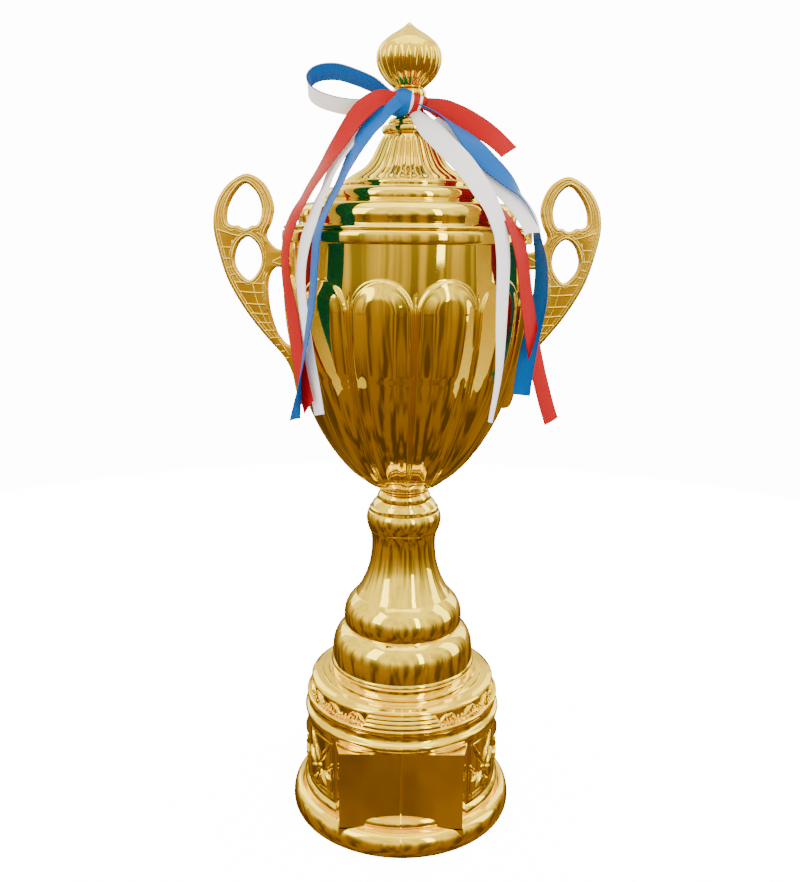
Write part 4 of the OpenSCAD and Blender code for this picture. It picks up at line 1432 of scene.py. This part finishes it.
# the room that the gold mirrors, from straight down (0) to straight up (1)
ROOM_LOW = (0.22, 0.11, 0.014, 1)
ROOM_HIGH = (2.1, 1.85, 1.1, 1)
ROOM_BETWEEN = (
    (0.28, (0.27, 0.14, 0.02, 1)), (0.38, (0.36, 0.20, 0.04, 1)), (0.45, (0.56, 0.37, 0.12, 1)),
    (0.52, (0.95, 0.75, 0.36, 1)), (0.6, (1.7, 1.45, 0.85, 1)))
AMBIENT = (1.7, 1.7, 1.7)
BACKDROP = (14, 14, 14)
FLOOR_GLOW = 14.0


@dataclass
class Studio:
    """Camera, soft lights and a pale floor."""

    eye: tuple[float, float, float] = (-0.003, -0.577, 0.383)
    pitch: float = 12.8
    roll: float = 0.6
    lens: float = 37.6
    floor_radius: float = 950.0

    def camera(self) -> None:
        """A camera at the eye, pitched down and rolled slightly."""
        data = bpy.data.cameras.new("camera")
        data.lens = self.lens
        data.sensor_width = 36.0
        data.clip_start, data.clip_end = 0.01, 50
        cam = bpy.data.objects.new("camera", data)
        bpy.context.scene.collection.objects.link(cam)
        cam.location = self.eye
        cam.rotation_mode = "XYZ"
        cam.rotation_euler = (math.radians(90 - self.pitch), 0, 0)
        cam.rotation_euler.rotate_axis("Z", math.radians(self.roll))
        bpy.context.scene.camera = cam

    @staticmethod
    def light(lamp: Lamp) -> None:
        """A rectangular soft light that looks at the cup.

        Args:
            lamp: its place, size, power and tint.
        """
        data = bpy.data.lights.new(lamp.name, "AREA")
        data.shape = "RECTANGLE"
        data.size, data.size_y = lamp.size
        data.energy = lamp.power
        data.color = lamp.color
        made = bpy.data.objects.new(lamp.name, data)
        bpy.context.scene.collection.objects.link(made)
        made.location = lamp.place
        made.rotation_euler = (Vector(LIGHTS_AIM) - Vector(lamp.place)).to_track_quat("-Z", "Y").to_euler()

    def surroundings(self) -> None:
        """A white backdrop, an even light for cloth, and the banded warm room that the gold mirrors."""
        world = bpy.data.worlds.new("studio")
        bpy.context.scene.world = world
        world.use_nodes = True
        tree = world.node_tree
        ray = add(tree, "ShaderNodeLightPath")
        spot = add(tree, "ShaderNodeTexCoord")
        split = add(tree, "ShaderNodeSeparateXYZ", Vector=spot.outputs["Generated"])
        ramp = add(tree, "ShaderNodeValToRGB",
                   Fac=add(tree, "ShaderNodeMapRange", Value=split.outputs["Z"],
                           From_Min=-1.0, From_Max=1.0).outputs[0])
        bands = ramp.color_ramp
        bands.elements[0].position, bands.elements[0].color = 0.0, ROOM_LOW
        bands.elements[1].position, bands.elements[1].color = 1.0, ROOM_HIGH
        for at, color in ROOM_BETWEEN:
            bands.elements.new(at).color = color
        flat = add(tree, "ShaderNodeMapping", Vector=spot.outputs["Generated"], Scale=(3.0, 3.0, 0.25))
        panes = add(tree, "ShaderNodeTexNoise", Vector=flat.outputs[0], Scale=1.7, Detail=2.0)
        shade = add(tree, "ShaderNodeMapRange", Value=panes.outputs["Fac"], From_Min=0.41, From_Max=0.57,
                    To_Min=0.2,
                    To_Max=1.4)
        near = add(tree, "ShaderNodeMapRange", Value=split.outputs["Z"], From_Min=0.05, From_Max=0.45,
                   To_Min=0.7,
                   To_Max=0.2)
        lit = add(tree, "ShaderNodeMix", {"data_type": "RGBA", "blend_type": "MULTIPLY"})
        tree.links.new(near.outputs[0], lit.inputs["Factor"])
        tree.links.new(ramp.outputs["Color"], lit.inputs[6])
        tree.links.new(shade.outputs[0], lit.inputs[7])
        sky = tree.nodes["Background"]
        sky.inputs["Strength"].default_value = 1.0
        soft = self.seen(tree, ray.outputs["Is Glossy Ray"], AMBIENT, lit.outputs[2])
        both = self.seen(tree, ray.outputs["Is Camera Ray"], soft, BACKDROP)
        tree.links.new(both, sky.inputs["Color"])

    @staticmethod
    def seen(tree: bpy.types.NodeTree, by: bpy.types.NodeSocket, others: object,
             them: object) -> bpy.types.NodeSocket:
        """One colour for the rays named by a socket and another for all other rays.

        Args:
            tree: the node tree.
            by: 1 for the named rays.
            others: colour or socket for all other rays.
            them: colour or socket for the named rays.

        Returns:
            The chosen colour.
        """
        mix = add(tree, "ShaderNodeMix", {"data_type": "RGBA"})
        tree.links.new(by, mix.inputs["Factor"])
        for socket, color in ((mix.inputs[6], others), (mix.inputs[7], them)):
            if isinstance(color, tuple):
                socket.default_value = (*color, 1)
            else:
                tree.links.new(color, socket)
        return mix.outputs[2]

    def floor(self) -> None:
        """A wide pale floor; mirrored rays pass through it, so the gold shows the room below instead."""
        theta = angles(96)
        ring = np.stack([self.floor_radius * np.cos(theta), self.floor_radius * np.sin(theta),
                         0 * theta - 0.3], 1)
        mesh = bpy.data.meshes.new("floor")
        mesh.from_pydata((ring * MM).tolist(), [], [tuple(range(len(ring)))])
        obj = bpy.data.objects.new("floor", mesh)
        bpy.context.scene.collection.objects.link(obj)
        made = bpy.data.materials.new("pale_floor")
        made.use_nodes = True
        tree = made.node_tree
        shader = tree.nodes["Principled BSDF"]
        ray = add(tree, "ShaderNodeLightPath")
        shader.inputs["Base Color"].default_value = (0.93, 0.93, 0.93, 1)
        glow = add(tree, "ShaderNodeMath", {"operation": "MULTIPLY"}, i0=ray.outputs["Is Camera Ray"],
                   i1=FLOOR_GLOW)
        tree.links.new(glow.outputs[0], shader.inputs["Emission Strength"])
        shader.inputs["Emission Color"].default_value = (1, 1, 1, 1)
        shader.inputs["Roughness"].default_value = 0.7
        clear = add(tree, "ShaderNodeBsdfTransparent")
        either = add(tree, "ShaderNodeMixShader", i0=ray.outputs["Is Glossy Ray"], i1=shader.outputs[0],
                     i2=clear.outputs[0])
        tree.links.new(either.outputs[0], tree.nodes["Material Output"].inputs["Surface"])
        mesh.materials.append(made)

    def build(self) -> None:
        """Sets up the whole studio."""
        self.camera()
        self.surroundings()
        self.floor()
        for lamp in LAMPS:
            self.light(lamp)


def main() -> None:
    """Builds the studio, then each sub-assembly from the floor up."""
    logging.basicConfig(level=logging.INFO, format="%(message)s")
    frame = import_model()
    Studio().build()
    paints = Paints()
    looks = {Slot.STEEL.value: paints.plain(ZINC), Slot.IRON.value: paints.plain(PAINTED_IRON),
             Slot.BOARD.value: paints.plain(BOARD), Slot.FELT.value: paints.plain(FELT),
             Slot.INSERT.value: paints.gilt(TURNED_BRASS)}
    slots = {s["node"]: s["material_slot"] for s in frame["record"]["subparts"]}
    for name, obj in frame["nodes"].items():
        if slots.get(name) in looks:
            dress(obj, looks[slots[name]])
    Plinth().build(paints)
    sheet_gold = paints.gilt(SHEET_GOLD)
    moulded = paints.gilt(MOULDED_GOLD)
    for piece in STEM_TURNINGS + LID_TURNINGS:
        piece.build(moulded if piece.slot is Slot.PLASTIC else sheet_gold)
    Bowl().build(paints)
    for side in (-1, 1):
        Handle().build(side, paints)
    satins = {Slot.RED: paints.satin_ribbon(RED_SATIN), Slot.WHITE: paints.satin_ribbon(WHITE_SATIN),
              Slot.BLUE: paints.satin_ribbon(BLUE_SATIN)}
    for tail in TAILS:
        tail.build(satins[tail.slot])
    Bow().build(satins)


if __name__ == "__main__":
    main()
